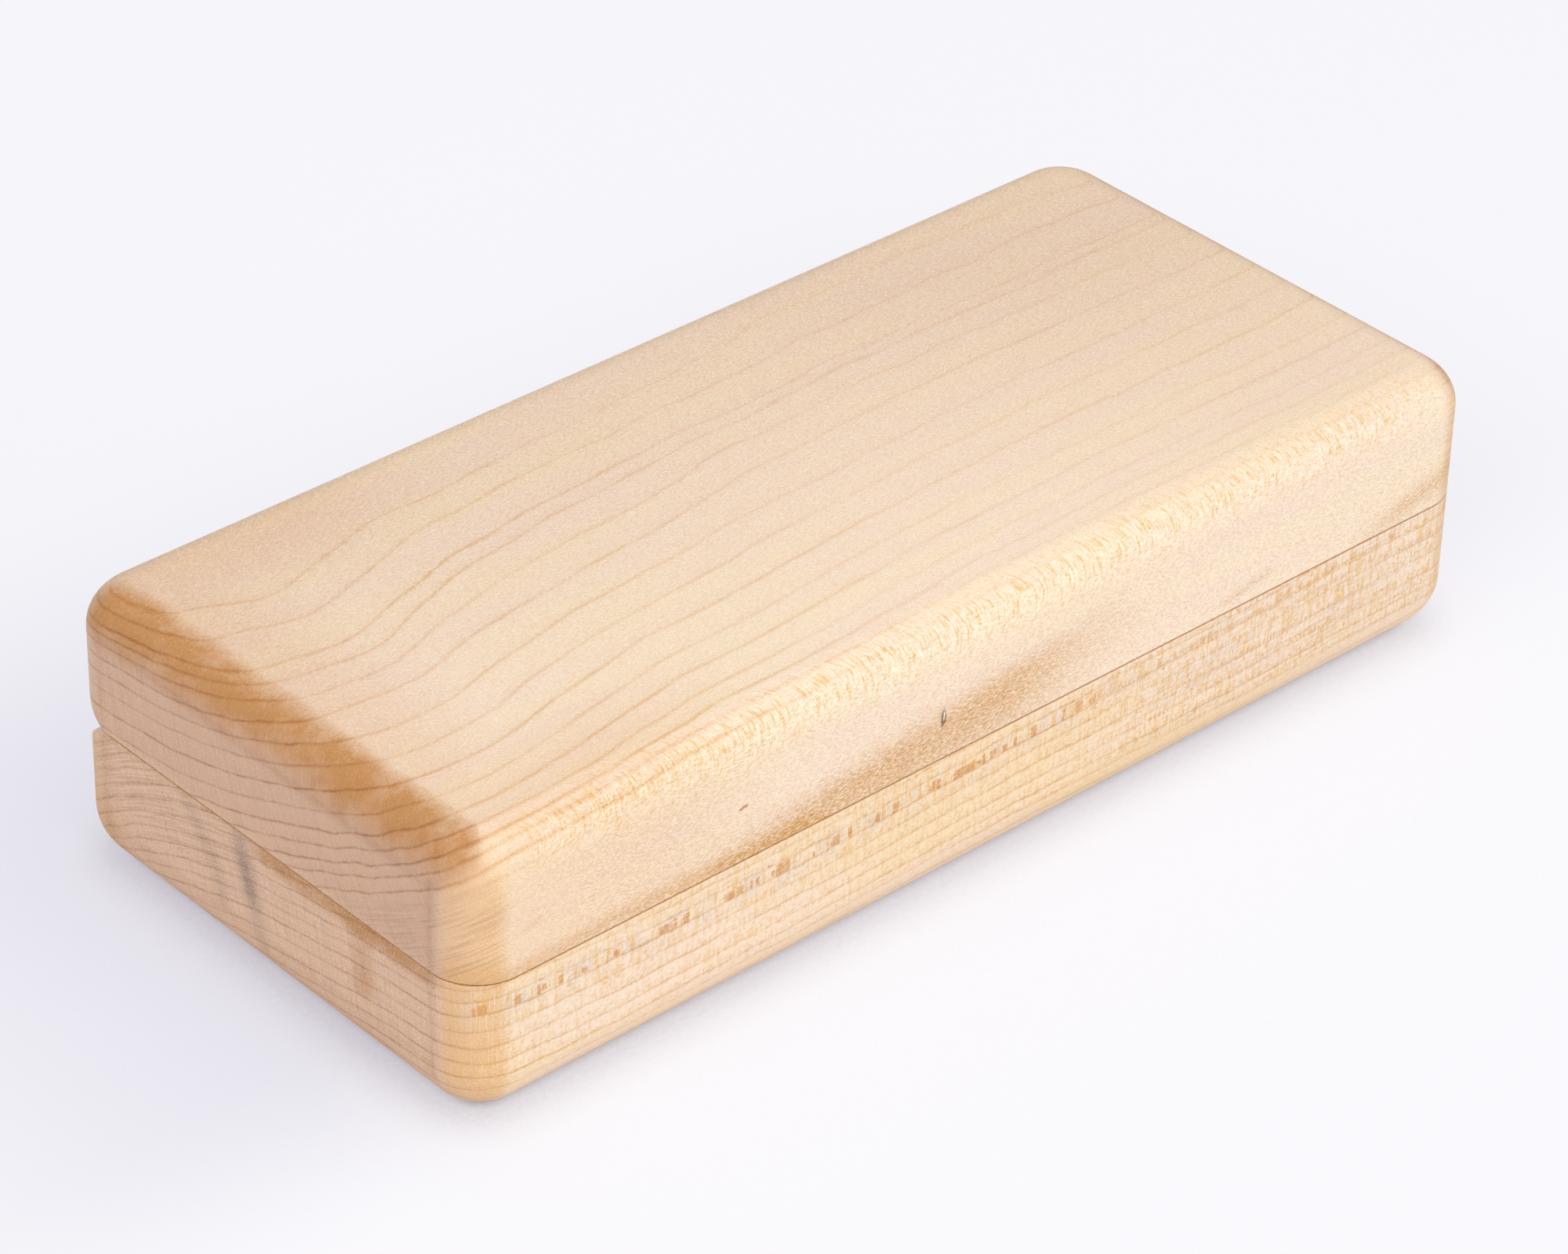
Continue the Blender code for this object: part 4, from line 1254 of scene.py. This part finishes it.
def give_finish(word, material):
    """Puts a finish on the CAD nodes with this word in their names. Their shapes stay as they are."""
    for name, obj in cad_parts.items():
        if word in name:
            if not obj.material_slots:
                raise RuntimeError(f"{name} has no material slot")
            for place in obj.material_slots:
                place.material = material


# Operators, one for each piece or group of like pieces


def make_block(half, sizes, outer, edge, pocket_end, rim, log, marks, finish):
    """Makes a half's block between its outer face, its rim and the end of its pocket."""
    inward = -1.0 if outer < rim else 1.0
    mesh = block_surface(sizes, abs(outer - rim), edge, abs(pocket_end - rim), rim, inward)
    obj = new_object("maple_" + half, mesh)
    for number, forms in enumerate(recesses(rim, inward)):
        cut(obj, forms, f"{half}_recess_{number}")
    dress(obj, half, half, finish, sharp=38.0)
    lay_out_wood(obj.data, log, marks)


class CASE_OT_base(bpy.types.Operator):
    """Make the base: a maple block with its pocket, mortises and magnet holes"""

    bl_idname = "case.make_base"
    bl_label = "Base"

    def execute(self, context):
        colours = context.scene.case_maple
        finish = finish_named("Maple, base", maple, colours, colours.straw, colours.base_end, 0.17,
                              (0.84, 0.66, 0.45), (0.68, 0.51, 0.41), 0.06, [])
        sizes = context.scene.case_sizes
        make_block("base", sizes, 0.0, sizes.base_edge, POCKET_FLOOR, BASE_RIM, BASE_LOG, base_marks, finish)
        return {"FINISHED"}


class CASE_OT_lid(bpy.types.Operator):
    """Make the lid: the second maple block, which turns on the hinges"""

    bl_idname = "case.make_lid"
    bl_label = "Lid"

    def execute(self, context):
        colours = context.scene.case_maple
        # The last knot is a slanting dash in the brown of the seam's painted shade
        knots = [(-0.0103, 0.0272, 0.0006, 0.0016, 4, colours.knot),
                 (-0.0102, 0.0275, 0.00016, 0.0008, 4, colours.pale_ray),
                 (-0.0425, 0.0290, 0.0010, 0.00034, -10, colours.shut)]
        finish = finish_named("Maple, lid", maple, colours, colours.cream, colours.end, 0.28,
                              (0.87, 0.69, 0.47), (0.66, 0.47, 0.37), 0.18, knots)
        sizes = context.scene.case_sizes
        make_block("lid", sizes, TOP, sizes.lid_edge, POCKET_ROOF, LID_RIM, LID_LOG, lid_marks, finish)
        return {"FINISHED"}


class CASE_OT_felt(bpy.types.Operator):
    """Make the felt lining: a floor sheet and a wall strip in each pocket"""

    bl_idname = "case.make_felt"
    bl_label = "Felt lining"

    def execute(self, context):
        finish = finish_named("Wool felt", felt, context.scene.case_felt)
        for half, floor, inward, rim in (("base", POCKET_FLOOR + GAP, -1.0, BASE_RIM),
                                         ("lid", POCKET_ROOF - GAP, 1.0, LID_RIM)):
            sheet = new_object("felt_floor_" + half, floor_felt_surface(floor, inward))
            dress(sheet, half, half + "_floor_felt", finish)
            rise = abs(rim - floor) - STRIP_BELOW_RIM
            strip = new_object("felt_wall_" + half, wall_felt_surface(floor, inward, rise))
            dress(strip, half, half + "_wall_felt", finish)
        return {"FINISHED"}


class CASE_OT_hinges(bpy.types.Operator):
    """Finish the two butt hinges, their pins and their screws"""

    bl_idname = "case.finish_hinges"
    bl_label = "Hinges"

    def execute(self, context):
        colours = context.scene.case_metal
        for word, name, rougher, lines in (
            ("_leaf", "Brass, leaves", 0.0, (900.0, 16000.0, 16000.0)),
            ("_pin", "Brass, pins", -0.05, (16000.0, 2200.0, 2200.0)),
            ("_screw_", "Brass, screws", 0.05, (5200.0, 5200.0, 5200.0)),
        ):
            give_finish(word, finish_named(name, metal, colours.brass, colours.tarnish,
                                           colours.roughness + rougher, lines))
        return {"FINISHED"}


class CASE_OT_magnets(bpy.types.Operator):
    """Finish the four nickel-plated magnets in the front rims"""

    bl_idname = "case.finish_magnets"
    bl_label = "Magnets"

    def execute(self, context):
        give_finish("_magnet_", finish_named("Nickel plate", metal, context.scene.case_metal.nickel,
                                             shade(150, 148, 142), 0.2, (3000.0, 3000.0, 3000.0)))
        return {"FINISHED"}


class CASE_OT_stage(bpy.types.Operator):
    """Make the white cloth, the even light, two windows and the photograph's camera"""

    bl_idname = "case.make_stage"
    bl_label = "Cloth, light and camera"

    def execute(self, context):
        scene = context.scene
        settings = scene.case_stage
        scene.view_settings.view_transform = "Standard"

        skin = Skin()
        side = np.linspace(-CLOTH_REACH, CLOTH_REACH, 3)
        x, y = np.meshgrid(side, side)
        skin.lattice(np.stack([x, y, 0 * x], -1), flip=True)
        edge = scene.case_sizes.base_edge
        cloth = new_object("cloth", skin.mesh("cloth"))
        cloth.data.materials.append(
            finish_named("Woven cotton", woven_cloth, settings.cloth, HALF_LENGTH - edge, BACK - edge))

        scene.world = bpy.data.worlds.new("Even light")
        scene.world.use_nodes = True
        background = scene.world.node_tree.nodes["Background"]
        background.inputs["Color"].default_value = (*shade(248, 250, 255), 1.0)
        background.inputs["Strength"].default_value = settings.dome

        for name, place, size, power in (
            ("front_window", (-0.15, -1.4, 1.3), (1.8, 1.4), settings.front),
            ("left_window", (-1.4, -0.3, 1.2), (1.6, 1.4), settings.left),
            ("skylight", (0.1, -0.2, 1.8), (1.6, 1.6), settings.above),
        ):
            lamp = bpy.data.lights.new(name, "AREA")
            lamp.shape = "RECTANGLE"
            lamp.size, lamp.size_y = size
            lamp.energy = power
            lamp.color = shade(255, 252, 246)
            obj = new_object(name, lamp)
            obj.location = place
            obj.rotation_euler = (Vector(LAMP_TARGET) - Vector(place)).to_track_quat("-Z", "Y").to_euler()

        camera = bpy.data.cameras.new("camera")
        camera.sensor_fit = "HORIZONTAL"
        camera.sensor_width = CAMERA_SENSOR
        camera.lens = CAMERA_LENS
        camera.clip_start = 0.01
        scene.camera = new_object("camera", camera)
        view = np.eye(4)
        view[:3] = np.transpose([CAMERA_RIGHT, CAMERA_UP, CAMERA_BACK, CAMERA_PLACE])
        scene.camera.matrix_world = Matrix(view.tolist())
        return {"FINISHED"}


class CASE_PT_panel(bpy.types.Panel):
    """Panel that lists the steps and the values they use"""

    bl_label = "Glasses case"
    bl_idname = "CASE_PT_panel"
    bl_space_type = "VIEW_3D"
    bl_region_type = "UI"
    bl_category = "Glasses case"

    def draw(self, context):
        layout = self.layout
        for step in STEPS:
            layout.operator(step.bl_idname)
        for name in GROUPS:
            group = getattr(context.scene, name)
            box = layout.box()
            box.label(text=GROUPS[name].__doc__)
            for prop in GROUPS[name].__annotations__:
                box.prop(group, prop)


STEPS = (CASE_OT_base, CASE_OT_lid, CASE_OT_felt, CASE_OT_hinges, CASE_OT_magnets, CASE_OT_stage)
GROUPS = {
    "case_sizes": CaseSizes, "case_maple": MapleColours, "case_metal": MetalFinish,
    "case_felt": FeltFinish, "case_stage": StageSettings,
}


def register():
    """Registers every class and puts the values on the scene."""
    for cls in (*GROUPS.values(), *STEPS, CASE_PT_panel):
        bpy.utils.register_class(cls)
    for name, group in GROUPS.items():
        setattr(bpy.types.Scene, name, PointerProperty(type=group))


def unregister():
    """Takes back what register did."""
    for name in GROUPS:
        delattr(bpy.types.Scene, name)
    for cls in reversed((*GROUPS.values(), *STEPS, CASE_PT_panel)):
        bpy.utils.unregister_class(cls)


def main():
    """Registers the classes and makes every piece in order."""
    register()
    for step in STEPS:
        area, name = step.bl_idname.split(".")
        getattr(getattr(bpy.ops, area), name)()


if __name__ == "__main__":
    main()
